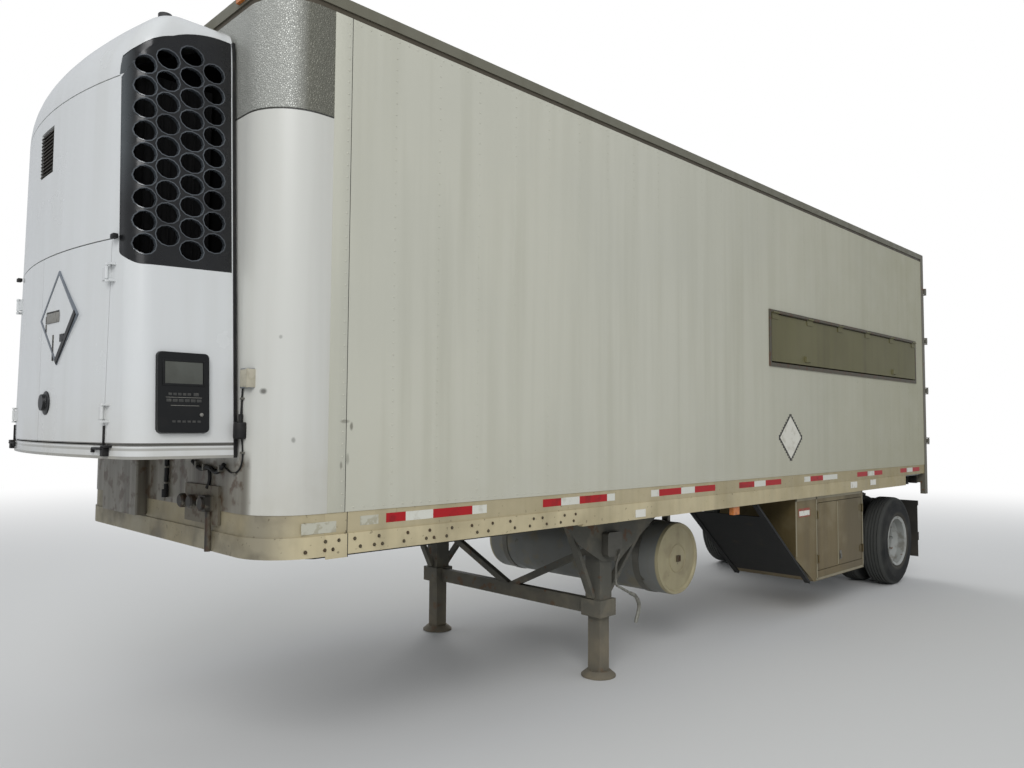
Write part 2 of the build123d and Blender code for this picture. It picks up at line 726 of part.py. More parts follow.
# Cross members: I-beams under the floor from rail to rail
with BuildPart() as cross_members:
    for number in range(int((RAIL_END - BEAM_FIRST) / BEAM_PITCH) + 1):
        station = BEAM_FIRST + number * BEAM_PITCH
        with BuildSketch(profile(-RAIL_INNER)):
            flange = (station - BEAM_FLANGE / 2, station + BEAM_FLANGE / 2)
            side((flange[0], RAIL_BOTTOM), (flange[1], RAIL_BOTTOM + BEAM_WEB))
            side((flange[0], FLOOR_BOTTOM - BEAM_WEB), (flange[1], FLOOR_BOTTOM))
            side((station - BEAM_WEB / 2, RAIL_BOTTOM), (station + BEAM_WEB / 2, FLOOR_BOTTOM))
        extrude(amount=2 * RAIL_INNER)
cross_members.part.label = "cross_members"
export_step(cross_members.part, "parts/cross_members.step")

# Upper coupler: bottom plate with its front corners cut, ribs above it and the turned kingpin below
coupler_web = (RAIL_BOTTOM + COUPLER_PLATE, FLOOR_BOTTOM)
kingpin_foot = RAIL_BOTTOM - KINGPIN_LENGTH
with BuildPart() as upper_coupler:
    with BuildSketch(plan(RAIL_BOTTOM)) as coupler_plate:
        ground((-RAIL_INNER, COUPLER_START), (RAIL_INNER, COUPLER_END))
        chamfer(coupler_plate.vertices().group_by(Axis.Y)[0], *COUPLER_CORNER)
    extrude(amount=COUPLER_PLATE)
    rib_first = COUPLER_START + COUPLER_CORNER[1] + COUPLER_RIB
    rib_pitch = (COUPLER_END - COUPLER_RIB - rib_first) / (COUPLER_RIBS - 1)
    for number in range(COUPLER_RIBS):
        station = rib_first + number * rib_pitch
        slab((-RAIL_INNER, RAIL_INNER), (station, station + COUPLER_RIB), coupler_web)
    for across in (-COUPLER_BEAM_SPREAD, 0, COUPLER_BEAM_SPREAD):
        beam_sides = (across - COUPLER_BEAM / 2, across + COUPLER_BEAM / 2)
        slab(beam_sides, (COUPLER_START, COUPLER_END), coupler_web)
    with BuildSketch(section(KINGPIN_STATION)):
        with BuildLine():
            Polyline((0, RAIL_BOTTOM), (KINGPIN_FLANGE, RAIL_BOTTOM),
                     (KINGPIN_FLANGE, RAIL_BOTTOM - KINGPIN_FLANGE_LENGTH),
                     (KINGPIN_RADIUS, RAIL_BOTTOM - KINGPIN_FLANGE_LENGTH),
                     (KINGPIN_RADIUS, kingpin_foot + KINGPIN_HEAD_LENGTH),
                     (KINGPIN_HEAD, kingpin_foot + KINGPIN_HEAD_LENGTH),
                     (KINGPIN_HEAD, kingpin_foot), (0, kingpin_foot), close=True)
        make_face()
    revolve(axis=Axis((0, at(KINGPIN_STATION), 0), (0, 0, 1)))
upper_coupler.part.label = "upper_coupler"
export_step(upper_coupler.part, "parts/upper_coupler.step")

# Landing gear: outer tubes with a collar, inner legs on round feet
for word, hand in (("left", 1), ("right", -1)):
    centre = hand * LEG_SPREAD
    with BuildPart() as leg:
        with BuildSketch(plan(LEG_COLLAR_LOW)):
            with Locations((centre, at(LEG_STATION))):
                Rectangle(LEG_COLLAR, LEG_COLLAR)
        extrude(amount=LEG_COLLAR_HIGH - LEG_COLLAR_LOW)
        with BuildSketch(plan(LEG_COLLAR_HIGH)):
            with Locations((centre, at(LEG_STATION))):
                Rectangle(LEG_TUBE, LEG_TUBE)
        extrude(amount=RAIL_BOTTOM - LEG_COLLAR_HIGH)
        with BuildSketch(plan(LEG_COLLAR_LOW)):
            with Locations((centre, at(LEG_STATION))):
                Rectangle(LEG_INNER, LEG_INNER)
        extrude(amount=LEG_COLLAR_HIGH - LEG_COLLAR_LOW, mode=Mode.SUBTRACT)
    leg.part.label = f"{word}_leg_tube"
    export_step(leg.part, f"parts/{word}_leg_tube.step")

    with BuildPart() as foot:
        with BuildSketch(Plane(origin=(centre, at(LEG_STATION), 0), x_dir=(1, 0, 0), z_dir=(0, -1, 0))):
            with BuildLine():
                Polyline((0, 0), (FOOT_RADIUS, 0), (FOOT_RADIUS, FOOT_EDGE), (FOOT_CROWN, FOOT_HEIGHT),
                         (0, FOOT_HEIGHT), close=True)
            make_face()
        revolve(axis=Axis((centre, at(LEG_STATION), 0), (0, 0, 1)))
        with BuildSketch(plan(FOOT_HEIGHT)):
            with Locations((centre, at(LEG_STATION))):
                Rectangle(LEG_INNER, LEG_INNER)
        extrude(amount=LEG_COLLAR_HIGH - FOOT_HEIGHT)
    foot.part.label = f"{word}_leg_foot"
    export_step(foot.part, f"parts/{word}_leg_foot.step")

# Wing plates and raking braces that hold each leg to the rail
with BuildPart() as leg_wings:
    wing_outline = ((WING_START, RAIL_BOTTOM), (WING_END, RAIL_BOTTOM), *WING_CORNERS)
    for hand in (1, -1):
        with BuildSketch(profile(hand * (LEG_SPREAD + LEG_TUBE / 2))):
            with BuildLine():
                Polyline(*[(at(station), height) for station, height in wing_outline], close=True)
            make_face()
        extrude(amount=hand * LEG_PLATE)
        for top, way in zip(LEG_BRACE_TOPS, (-1, 1)):
            rise = RAIL_BOTTOM - LEG_BRACE_HEAD - LEG_COLLAR_HIGH - LEG_BRACE_FOOT
            run = abs(top - LEG_STATION) - LEG_TUBE / 2
            stand_off = LEG_BRACE_DEPTH / 2 * rise / hypot(rise, run) + SEAT_GAP
            foot_station = LEG_STATION + way * (LEG_TUBE / 2 + stand_off)
            bar((hand * LEG_SPREAD, at(top), RAIL_BOTTOM - LEG_BRACE_HEAD),
                (hand * LEG_SPREAD, at(foot_station), LEG_COLLAR_HIGH + LEG_BRACE_FOOT),
                LEG_BRACE_WIDTH, LEG_BRACE_DEPTH)
leg_wings.part.label = "leg_wings"
export_step(leg_wings.part, "parts/leg_wings.step")

# Cross beam between the legs, with a V brace up to the leg tubes
with BuildPart() as leg_beam:
    leg_inside = LEG_SPREAD - LEG_COLLAR / 2
    slab((-leg_inside, leg_inside), (LEG_STATION - LEG_BEAM_WIDTH / 2, LEG_STATION + LEG_BEAM_WIDTH / 2),
         (LEG_BEAM_LOW, LEG_BEAM_HIGH))
    for hand in (1, -1):
        bar((hand * V_BRACE_FOOT, at(LEG_STATION), LEG_BEAM_HIGH - V_BRACE_FOOT),
            (hand * (LEG_SPREAD - V_BRACE_INSET), at(LEG_STATION), V_BRACE_TOP), V_BRACE, V_BRACE)
leg_beam.part.label = "leg_beam"
export_step(leg_beam.part, "parts/leg_beam.step")

# Gearbox on the roadside leg and the hanging crank, one bent round rod
gearbox_x = LEG_SPREAD + LEG_TUBE / 2 + LEG_PLATE
crank_x = gearbox_x + GEARBOX_DEPTH + CRANK_SHAFT_LENGTH / 2
with BuildPart() as crank:
    with BuildSketch(profile(gearbox_x)) as gearbox:
        side((GEARBOX_STATIONS[0], GEARBOX_HEIGHTS[0]), (GEARBOX_STATIONS[1], GEARBOX_HEIGHTS[1]))
        chamfer(gearbox.vertices(), GEARBOX_CORNER)
    extrude(amount=GEARBOX_DEPTH)
    with BuildSketch(profile(gearbox_x + GEARBOX_DEPTH)):
        with Locations((at(CRANK_CORNERS[0][0]), CRANK_CORNERS[0][1])):
            Circle(CRANK_SHAFT)
    extrude(amount=CRANK_SHAFT_LENGTH)
    with BuildLine(profile(crank_x)) as crank_line:
        FilletPolyline(*[(at(station), height) for station, height in CRANK_CORNERS], radius=CRANK_BEND)
    with BuildSketch(Plane(origin=crank_line.line @ 0, z_dir=crank_line.line % 0)) as crank_section:
        Circle(CRANK_RADIUS)
    sweep(crank_section.sketch, path=crank_line.line)
crank.part.label = "crank"
export_step(crank.part, "parts/crank.step")

# Spring geometry: all leaves lie on arcs about one centre above the axle
spring_radius = (SPRING_LENGTH ** 2 / 4 + SPRING_CAMBER ** 2) / (2 * SPRING_CAMBER)
spring_centre = SPRING_TOP + spring_radius
spring_foot = SPRING_TOP - SPRING_LEAVES * SPRING_LEAF


def spring_point(reach, depth):
    """Station and height of a point on the spring, reach along it from the axle, depth below its top face."""
    turn = reach / spring_radius
    distance = spring_radius + depth
    return AXLE_STATION + distance * sin(turn), spring_centre - distance * cos(turn)


def spring_arc(half, depth):
    """The arc of one leaf face in a profile sketch."""
    points = [spring_point(reach, depth) for reach in (-half, 0, half)]
    ThreePointArc(*[(at(station), height) for station, height in points])


# Suspension frame: two long I-rails with cross ties, and hangers with two cheeks and a pin
hanger_reach = SPRING_LENGTH / 2 - HANGER_PIN_END
hanger_cheek_x = SPRING_WIDTH / 2 + U_BOLT_GAP
with BuildPart() as suspension_frame:
    for hand in (1, -1):
        web = hand * SPRING_SPREAD
        stations = (FRAME_RAIL_START, FRAME_RAIL_END)
        flange = (web - FRAME_RAIL_FLANGE / 2, web + FRAME_RAIL_FLANGE / 2)
        slab(flange, stations, (RAIL_BOTTOM - FRAME_RAIL_PLATE, RAIL_BOTTOM))
        slab(flange, stations, (FRAME_RAIL_LOW, FRAME_RAIL_LOW + FRAME_RAIL_PLATE))
        slab((web - FRAME_RAIL_WEB / 2, web + FRAME_RAIL_WEB / 2), stations, (FRAME_RAIL_LOW, RAIL_BOTTOM))
        for way in (-1, 1):
            pin_station, pin_height = spring_point(way * hanger_reach, SPRING_LEAF + HANGER_PIN + SEAT_GAP)
            for cheek in (web - hanger_cheek_x - HANGER_CHEEK, web + hanger_cheek_x):
                with BuildSketch(profile(cheek)) as hanger:
                    with BuildLine():
                        Polyline((at(pin_station - HANGER_HEAD / 2), FRAME_RAIL_LOW),
                                 (at(pin_station + HANGER_HEAD / 2), FRAME_RAIL_LOW),
                                 (at(pin_station + HANGER_FOOT / 2), HANGER_LOW),
                                 (at(pin_station - HANGER_FOOT / 2), HANGER_LOW), close=True)
                    make_face()
                    fillet(hanger.vertices().group_by(Axis.Y)[0], HANGER_CORNER)
                extrude(amount=HANGER_CHEEK)
            with BuildSketch(profile(web - hanger_cheek_x - HANGER_CHEEK)):
                with Locations((at(pin_station), pin_height)):
                    Circle(HANGER_PIN)
            extrude(amount=2 * (hanger_cheek_x + HANGER_CHEEK))
    for station in (FRAME_RAIL_START + TIE_FIRST, AXLE_STATION - hanger_reach, AXLE_STATION + hanger_reach):
        slab((-SPRING_SPREAD, SPRING_SPREAD), (station - TIE_WIDTH / 2, station + TIE_WIDTH / 2),
             (FRAME_RAIL_LOW + TIE_RISE, FRAME_RAIL_LOW + TIE_RISE + TIE_HEIGHT))
suspension_frame.part.label = "suspension_frame"
export_step(suspension_frame.part, "parts/suspension_frame.step")

# Leaf springs: each leaf below the main one is shorter by one step at both ends
with BuildPart() as leaf_springs:
    for hand in (1, -1):
        with BuildSketch(profile(hand * SPRING_SPREAD - SPRING_WIDTH / 2)):
            for number in range(SPRING_LEAVES):
                half = SPRING_LENGTH / 2 - number * SPRING_LEAF_STEP
                top, foot = number * SPRING_LEAF, (number + 1) * SPRING_LEAF
                with BuildLine():
                    spring_arc(half, top)
                    spring_arc(half, foot)
                    for way in (-1, 1):
                        ends = [spring_point(way * half, depth) for depth in (top, foot)]
                        Line(*[(at(station), height) for station, height in ends])
                make_face()
        extrude(amount=SPRING_WIDTH)
leaf_springs.part.label = "leaf_springs"
export_step(leaf_springs.part, "parts/leaf_springs.step")

# Axle: round beam with spring seats, U-bolts over the springs, brake spiders, camshafts and spindles
spider_x = DUAL_CENTRE - SPIDER_INSET
bolt_reach = AXLE_TUBE + U_BOLT + U_BOLT_GAP
bolt_side = SPRING_WIDTH / 2 + U_BOLT + U_BOLT_GAP
plate_half = bolt_reach + U_BOLT_PLATE
bolt_foot = TYRE_RADIUS - AXLE_TUBE - U_BOLT_PLATE
bolt_plate_low = spring_centre - (spring_radius ** 2 - plate_half ** 2) ** 0.5 + SEAT_GAP
chamber_end = AXLE_STATION - BRAKE_LEAD + CHAMBER_PROFILE[-1][0]
camshaft_place = (AXLE_STATION - CAMSHAFT_LEAD, TYRE_RADIUS - CAMSHAFT_DROP)
with BuildPart() as axle:
    with BuildSketch(profile(-spider_x)):
        with Locations((at(AXLE_STATION), TYRE_RADIUS)):
            Circle(AXLE_TUBE)
    extrude(amount=2 * spider_x)
    for hand in (1, -1):
        with BuildSketch(profile(hand * spider_x)):
            with Locations((at(AXLE_STATION), TYRE_RADIUS)):
                Circle(SPINDLE_RADIUS)
        extrude(amount=hand * SPINDLE_LENGTH)
        with BuildSketch(profile(hand * (spider_x - SPIDER_THICKNESS))):
            with Locations((at(AXLE_STATION), TYRE_RADIUS)):
                Circle(SPIDER_RADIUS)
        extrude(amount=hand * SPIDER_THICKNESS)
        with BuildSketch(profile(hand * BRAKE_ACROSS)):
            with Locations((at(camshaft_place[0]), camshaft_place[1])):
                Circle(CAMSHAFT_RADIUS)
        extrude(amount=hand * (spider_x - BRAKE_ACROSS))
        bar((hand * BRAKE_ACROSS, at(camshaft_place[0]), camshaft_place[1] - CAMSHAFT_RADIUS),
            (hand * BRAKE_ACROSS, at(camshaft_place[0]), TYRE_RADIUS + BRAKE_RISE + SLACK_ARM / 2),
            SLACK_ARM, SLACK_ARM)
        web = hand * SPRING_SPREAD
        seat = (web - SEAT_HALF, web + SEAT_HALF)
        slab(seat, (AXLE_STATION - AXLE_TUBE, AXLE_STATION + AXLE_TUBE),
             (TYRE_RADIUS, spring_foot - SEAT_GAP))
        for low in (bolt_foot, bolt_plate_low):
            slab(seat, (AXLE_STATION - plate_half, AXLE_STATION + plate_half), (low, low + U_BOLT_PLATE))
        with BuildSketch(plan(bolt_foot)):
            with Locations((web, at(AXLE_STATION))):
                with GridLocations(2 * bolt_side, 2 * bolt_reach, 2, 2):
                    Circle(U_BOLT)
        extrude(amount=bolt_plate_low + U_BOLT_PLATE - bolt_foot)
axle.part.label = "axle"
export_step(axle.part, "parts/axle.step")

# Brake chambers ahead of the axle: turned cans whose push rods end at the slack arms, on brackets
with BuildPart() as brake_chambers:
    for hand in (1, -1):
        chamber_foot = (hand * BRAKE_ACROSS, at(AXLE_STATION - BRAKE_LEAD), TYRE_RADIUS + BRAKE_RISE)
        rod_end = CAMSHAFT_LEAD + SLACK_ARM / 2 + SEAT_GAP
        with BuildSketch(Plane(origin=chamber_foot, x_dir=(0, 1, 0), z_dir=(1, 0, 0))):
            with BuildLine():
                reach = BRAKE_LEAD - rod_end
                Polyline((0, 0), *CHAMBER_PROFILE, (CHAMBER_PROFILE[-1][0], U_BOLT), (reach, U_BOLT),
                         (reach, 0), close=True)
            make_face()
        revolve(axis=Axis(chamber_foot, (0, 1, 0)))
        bracket_inner = BRAKE_ACROSS + SLACK_ARM
        slab((hand * bracket_inner, hand * (bracket_inner + FRAME_RAIL_WEB)),
             (chamber_end - 2 * SLACK_ARM, AXLE_STATION - AXLE_TUBE - SEAT_GAP),
             (TYRE_RADIUS - CAMSHAFT_RADIUS, TYRE_RADIUS + BRAKE_RISE))
brake_chambers.part.label = "brake_chambers"
export_step(brake_chambers.part, "parts/brake_chambers.step")

# Half of the tyre's outline: across from its middle and radius
tyre_side = TYRE_WIDTH / 2
tyre_half = (
    (-tyre_side + 32, RIM_RADIUS),
    (-tyre_side + 4, RIM_RADIUS + 50),
    (-tyre_side, RIM_RADIUS + 115),
    (-tyre_side + 12, TYRE_RADIUS - 50),
    (-tyre_side + 28, TYRE_RADIUS - 14),
    (-tyre_side + 50, TYRE_RADIUS),
)
# The dished disc wheel's outline: across from the mounting face and radius
rim_outline = (
    (0, 100), (12, 100), (12, 175), (60, 205), (150, 216), (175, 240), (205, 262), (285, 262), (300, 292),
    (292, RIM_RADIUS + 10), (276, RIM_RADIUS - 1), (66, RIM_RADIUS - 1), (50, RIM_RADIUS + 10), (42, 292),
    (56, 262), (130, 250), (20, 195), (0, 190),
)
# The brake drum and hub's outline: across from the dual centre and radius
hub_outline = (
    (-235, 46), (-235, DRUM_RADIUS), (-150, DRUM_RADIUS - 2), (-66, DRUM_RADIUS - 14), (-24, 166), (-12, 160),
    (-12, 99), (70, 99), (95, 80), (150, 78), (165, 62), (165, 0), (90, 0), (90, 46),
)
wheel_axis = Axis((0, at(AXLE_STATION), TYRE_RADIUS), (1, 0, 0))


def wheel_plane(across):
    """A plane through the axle's line whose first axis runs along X and whose second points up."""
    return Plane(origin=(across, at(AXLE_STATION), TYRE_RADIUS), x_dir=(1, 0, 0), z_dir=(0, -1, 0))


def wheel_outline(points, way):
    """The face inside a closed outline of across and radius, mirrored where the way is -1."""
    with BuildLine() as outline:
        Polyline(*[(way * across, radius) for across, radius in points], close=True)
    make_face(outline.edges())


# Wheels: two tyres and two dished rims with hand holes a side, on one hub with its brake drum
for word, hand in (("left", 1), ("right", -1)):
    with BuildPart() as tyres:
        for shift in (DUAL_SPACING / 2, -DUAL_SPACING / 2):
            with BuildSketch(wheel_plane(hand * (DUAL_CENTRE + shift))):
                other_half = [(-across, radius) for across, radius in reversed(tyre_half)]
                wheel_outline([*tyre_half, *other_half], hand)
            revolve(axis=wheel_axis)
    tyres.part.label = f"{word}_tyres"
    export_step(tyres.part, f"parts/{word}_tyres.step")

    with BuildPart() as rims:
        for way in (1, -1):
            with BuildSketch(wheel_plane(hand * DUAL_CENTRE)):
                wheel_outline(rim_outline, way)
            revolve(axis=wheel_axis)
        with BuildSketch(profile(hand * DUAL_CENTRE)):
            with Locations((at(AXLE_STATION), TYRE_RADIUS)):
                with PolarLocations(HAND_HOLE_CIRCLE, HAND_HOLES):
                    Circle(HAND_HOLE_RADIUS)
        extrude(amount=TYRE_WIDTH, both=True, mode=Mode.SUBTRACT)
    rims.part.label = f"{word}_rims"
    export_step(rims.part, f"parts/{word}_rims.step")

    with BuildPart() as hub:
        with BuildSketch(wheel_plane(hand * DUAL_CENTRE)):
            wheel_outline(hub_outline, hand)
        revolve(axis=wheel_axis)
    hub.part.label = f"{word}_hub"
    export_step(hub.part, f"parts/{word}_hub.step")

# Rubber at the rear: mud flaps ahead of their bars, and dock bumpers on the sill
bumper_outside = HALF - BUMPER_INSET
with BuildPart() as rear_rubber:
    for hand in (1, -1):
        slab((hand * (DUAL_CENTRE - FLAP_HALF), hand * (DUAL_CENTRE + FLAP_HALF)),
             (GUARD_STATION - FLAP_THICKNESS, GUARD_STATION), (FLAP_LOW, FLAP_HIGH))
        slab((hand * (bumper_outside - BUMPER_WIDTH), hand * bumper_outside),
             (BODY_LENGTH, BODY_LENGTH + REAR_REACH), (RAIL_BOTTOM, RAIL_BOTTOM + BUMPER_HEIGHT))
rear_rubber.part.label = "rear_rubber"
export_step(rear_rubber.part, "parts/rear_rubber.step")

# Rear underride guard, which also carries the flap bars
guard_top = GUARD_LOW + GUARD_HEIGHT
guard_post = (GUARD_POST_INSIDE, GUARD_POST_INSIDE + GUARD_DEPTH)
with BuildPart() as underride_guard:
    slab((-GUARD_HALF, GUARD_HALF), (GUARD_STATION, GUARD_STATION + GUARD_DEPTH), (GUARD_LOW, guard_top))
    for hand in (1, -1):
        slab((hand * guard_post[0], hand * guard_post[1]), (GUARD_STATION, GUARD_STATION + GUARD_DEPTH),
             (guard_top, FRAME_RAIL_LOW))
        slab((hand * guard_post[1], hand * (DUAL_CENTRE + FLAP_HALF)),
             (GUARD_STATION, GUARD_STATION + FLAP_BAR_DEPTH), (FLAP_HIGH - FLAP_BAR, FLAP_HIGH))
underride_guard.part.label = "underride_guard"
export_step(underride_guard.part, "parts/underride_guard.step")

# Belly box: sheet walls round a hollow, its front lower corner cut back, two door openings in its outer side
belly_outline = ((BELLY_START, RAIL_BOTTOM), (BELLY_START, BELLY_LOW + BELLY_CHAMFER_RISE),
                 (BELLY_START + BELLY_CHAMFER_RUN, BELLY_LOW), (BELLY_END, BELLY_LOW),
                 (BELLY_END, RAIL_BOTTOM))
belly_pin_x = BELLY_OUTSIDE + BELLY_PIN_OUT
belly_ear_reach = BELLY_EAR_GAP + UNIT_EAR
with BuildPart() as belly_box:
    with BuildSketch(profile(BELLY_INSIDE)):
        with BuildLine():
            Polyline(*[(at(station), height) for station, height in belly_outline], close=True)
        make_face()
    extrude(amount=BELLY_WIDTH)
    with BuildSketch(profile(BELLY_INSIDE + BELLY_WALL)):
        with BuildLine():
            Polyline(*[(at(station), height) for station, height in belly_outline], close=True)
        make_face()
        offset(amount=-BELLY_WALL, kind=Kind.INTERSECTION)
    extrude(amount=BELLY_WIDTH - 2 * BELLY_WALL, mode=Mode.SUBTRACT)
    with BuildSketch(profile(BELLY_OUTSIDE - BELLY_WALL)):
        side((BELLY_DOOR_START, BELLY_DOOR_LOW), (BELLY_DOOR_END, BELLY_DOOR_HIGH))
    extrude(amount=BELLY_WALL, mode=Mode.SUBTRACT)
    for edge, way in ((BELLY_DOOR_START, 1), (BELLY_DOOR_END, -1)):
        for low in BELLY_KNUCKLE_PLACES:
            for ear_low in (low - belly_ear_reach, low + BELLY_KNUCKLE + BELLY_EAR_GAP):
                with BuildSketch(plan(ear_low)):
                    ground((BELLY_OUTSIDE, edge - way * BELLY_EAR_ROOT[0]),
                           (belly_pin_x, edge - way * BELLY_EAR_ROOT[1]))
                    with Locations((belly_pin_x, at(edge))):
                        Circle(BELLY_BARREL)
                extrude(amount=UNIT_EAR)
            with BuildSketch(plan(low - belly_ear_reach)):
                with Locations((belly_pin_x, at(edge))):
                    Circle(BELLY_PIN)
            extrude(amount=BELLY_KNUCKLE + 2 * belly_ear_reach)
belly_box.part.label = "belly_box"
export_step(belly_box.part, "parts/belly_box.step")

# Belly doors, hinged at their outer edges and meeting in the middle
for word, edge, way in (("front", BELLY_DOOR_START, 1), ("rear", BELLY_DOOR_END, -1)):
    with BuildPart() as belly_door:
        with BuildSketch(profile(BELLY_OUTSIDE - BELLY_WALL)):
            side((edge + way * DOOR_GAP, BELLY_DOOR_LOW + DOOR_GAP),
                 (BELLY_DOOR_SPLIT - way * BELLY_DOOR_SEAM / 2, BELLY_DOOR_HIGH - DOOR_GAP))
        extrude(amount=BELLY_WALL)
        for low in BELLY_KNUCKLE_PLACES:
            with BuildSketch(plan(low)):
                ground((BELLY_OUTSIDE, edge), (BELLY_OUTSIDE + BELLY_LEAF, edge + way * BELLY_KNUCKLE))
                with Locations((belly_pin_x, at(edge))):
                    Circle(BELLY_BARREL)
                    Circle(BELLY_PIN + PIN_CLEARANCE, mode=Mode.SUBTRACT)
            extrude(amount=BELLY_KNUCKLE)
    belly_door.part.label = f"belly_{word}_door"
    export_step(belly_door.part, f"parts/belly_{word}_door.step")

# Guard ahead of the belly box: two raking struts with a plate between them
strut_top = (BELLY_STRUT_TOP, RAIL_BOTTOM - BELLY_STRUT_HEAD)
strut_foot = (BELLY_STRUT_FOOT, BELLY_LOW + BELLY_STRUT_RISE)
with BuildPart() as belly_guard:
    for across in (BELLY_INSIDE + BELLY_STRUT_INSET, BELLY_OUTSIDE - BELLY_STRUT_INSET):
        bar((across, at(strut_top[0]), strut_top[1]), (across, at(strut_foot[0]), strut_foot[1]),
            *BELLY_STRUT)
    fall = (strut_top[1] - strut_foot[1]) / (strut_foot[0] - strut_top[0])
    middle = (BELLY_INSIDE + BELLY_OUTSIDE) / 2
    ends = [(middle, at(station), strut_top[1] - fall * (station - strut_top[0]))
            for station in (BELLY_GUARD_START, BELLY_GUARD_END)]
    bar(*ends, BELLY_WIDTH - 2 * BELLY_STRUT[0], BELLY_GUARD_PLATE)
belly_guard.part.label = "belly_guard"
export_step(belly_guard.part, "parts/belly_guard.step")

# Fuel tank lying across the chassis, with a rolled lip round each dished end and a fitting in its middle
lip_radius = TANK_RADIUS - TANK_LIP_WIDTH
tank_half = ((TANK_END - TANK_LIP_WIDTH, TANK_RADIUS), (TANK_END, TANK_RADIUS - TANK_LIP / 2),
             (TANK_END, lip_radius), (TANK_END - TANK_LIP, lip_radius - TANK_LIP))
with BuildPart() as fuel_tank:
    with BuildSketch(Plane(origin=(0, at(TANK_STATION), TANK_HEIGHT), x_dir=(1, 0, 0), z_dir=(0, -1, 0))):
        with BuildLine():
            Polyline(*[(-across, radius) for across, radius in reversed(tank_half)], *tank_half,
                     (TANK_END - TANK_LIP / 4, TANK_FITTING[0]), (TANK_END, TANK_FITTING[1]), (TANK_END, 0),
                     (-TANK_END, 0), (-TANK_END, TANK_FITTING[1]), (TANK_LIP / 4 - TANK_END, TANK_FITTING[0]),
                     close=True)
        make_face()
    revolve(axis=Axis((0, at(TANK_STATION), TANK_HEIGHT), (1, 0, 0)))
fuel_tank.part.label = "fuel_tank"
export_step(fuel_tank.part, "parts/fuel_tank.step")

# Tank straps: steel bands round the tank that hang from two hangers under the floor
strap_outside = TANK_END - TANK_STRAP_INSET
with BuildPart() as tank_straps:
    for across in (strap_outside - TANK_STRAP, -strap_outside):
        with BuildSketch(profile(across)):
            with Locations((at(TANK_STATION), TANK_HEIGHT)):
                Circle(TANK_RADIUS + TANK_STRAP_THICKNESS)
            side((TANK_STATION - TANK_RADIUS - TANK_HANGER_REACH, RAIL_BOTTOM - TANK_HANGER_DEPTH),
                 (TANK_STATION + TANK_RADIUS + TANK_HANGER_REACH, RAIL_BOTTOM))
            for way in (-1, 1):
                middle = TANK_STATION + way * TANK_HANGER_POST
                side((middle - TANK_HANGER_DEPTH / 2, TANK_HEIGHT),
                     (middle + TANK_HANGER_DEPTH / 2, RAIL_BOTTOM))
            with Locations((at(TANK_STATION), TANK_HEIGHT)):
                Circle(TANK_RADIUS, mode=Mode.SUBTRACT)
        extrude(amount=TANK_STRAP)
tank_straps.part.label = "tank_straps"
export_step(tank_straps.part, "parts/tank_straps.step")


def unit_outline(inset, half, height):
    """The unit in plan at one height: bowed front, rounded front corners, sides that step in at the wall."""
    edge = at(inset - UNIT_EDGE_DEPTH)
    step = at(-UNIT_REAR_RUN)
    with BuildSketch(plan(height)) as outline:
        with BuildLine():
            Polyline((half, edge), (half, step), (half - UNIT_REAR_STEP, at(0)),
                     (UNIT_REAR_STEP - half, at(0)), (-half, step), (-half, edge))
            ThreePointArc((-half, edge), (0, at(inset - UNIT_DEPTH)), (half, edge))
        make_face()
        fillet(outline.vertices().group_by(Axis.Y)[0], UNIT_CORNER - inset)
    return outline.sketch


def unit_form(inset):
    """The unit's body: leaning sides, a roof crowned across and bowed down to the front, soft shoulders."""
    top = UNIT_TOP - inset
    eaves = top - UNIT_CROWN
    under = UNIT_BOTTOM - 1
    front = at(-UNIT_DEPTH)
    lean = (UNIT_HALF_LOW - UNIT_HALF_TOP) / (UNIT_TOP - UNIT_BOTTOM)
    foot = UNIT_HALF_LOW - inset + lean + UNIT_SIDE_MARGIN
    shoulder = foot - lean * (eaves - under)
    with BuildPart() as form:
        low_outline = unit_outline(inset, UNIT_HALF_LOW - inset, UNIT_BOTTOM)
        top_outline = unit_outline(inset, UNIT_HALF_TOP - inset, UNIT_TOP)
        add(Solid.make_loft([low_outline.wires()[0], top_outline.wires()[0]], ruled=True))
        with BuildSketch(profile(-UNIT_HALF_LOW)):
            with BuildLine():
                Polyline((at(-UNIT_ROOF_RUN), top), (at(0), top - UNIT_ROOF_DROP), (at(0), under),
                         (front, under), (front, UNIT_CAP_SPLIT))
                ThreePointArc((at(-UNIT_ROOF_RUN), top), (at(-UNIT_ROOF_BEND[0]), UNIT_ROOF_BEND[1] - inset),
                              (front, UNIT_CAP_SPLIT))
            make_face()
        extrude(amount=2 * UNIT_HALF_LOW, mode=Mode.INTERSECT)
        with BuildSketch(section(0)) as crowned:
            with BuildLine():
                Polyline((-shoulder, eaves), (-foot, under), (foot, under), (shoulder, eaves))
                ThreePointArc((-shoulder, eaves), (0, top), (shoulder, eaves))
            make_face()
            fillet(crowned.vertices().group_by(Axis.Y)[-1], UNIT_SHOULDER - inset)
        extrude(amount=UNIT_DEPTH, mode=Mode.INTERSECT)
    return form.part


unit_solid = unit_form(0)
unit_shell = unit_solid - unit_form(UNIT_SKIN)
unit_groove = unit_solid - unit_form(UNIT_SEAM_DEPTH)
unit_wide = (-UNIT_HALF_LOW, UNIT_HALF_LOW)
unit_deep = (-UNIT_DEPTH, 0)
front_zone = (-UNIT_DEPTH, -UNIT_EDGE_DEPTH + 2 * UNIT_SKIN)
unit_lean = degrees(atan2(UNIT_HALF_LOW - UNIT_HALF_TOP, UNIT_TOP - UNIT_BOTTOM))
grille_inside = UNIT_DOOR_EDGE + UNIT_SEAM


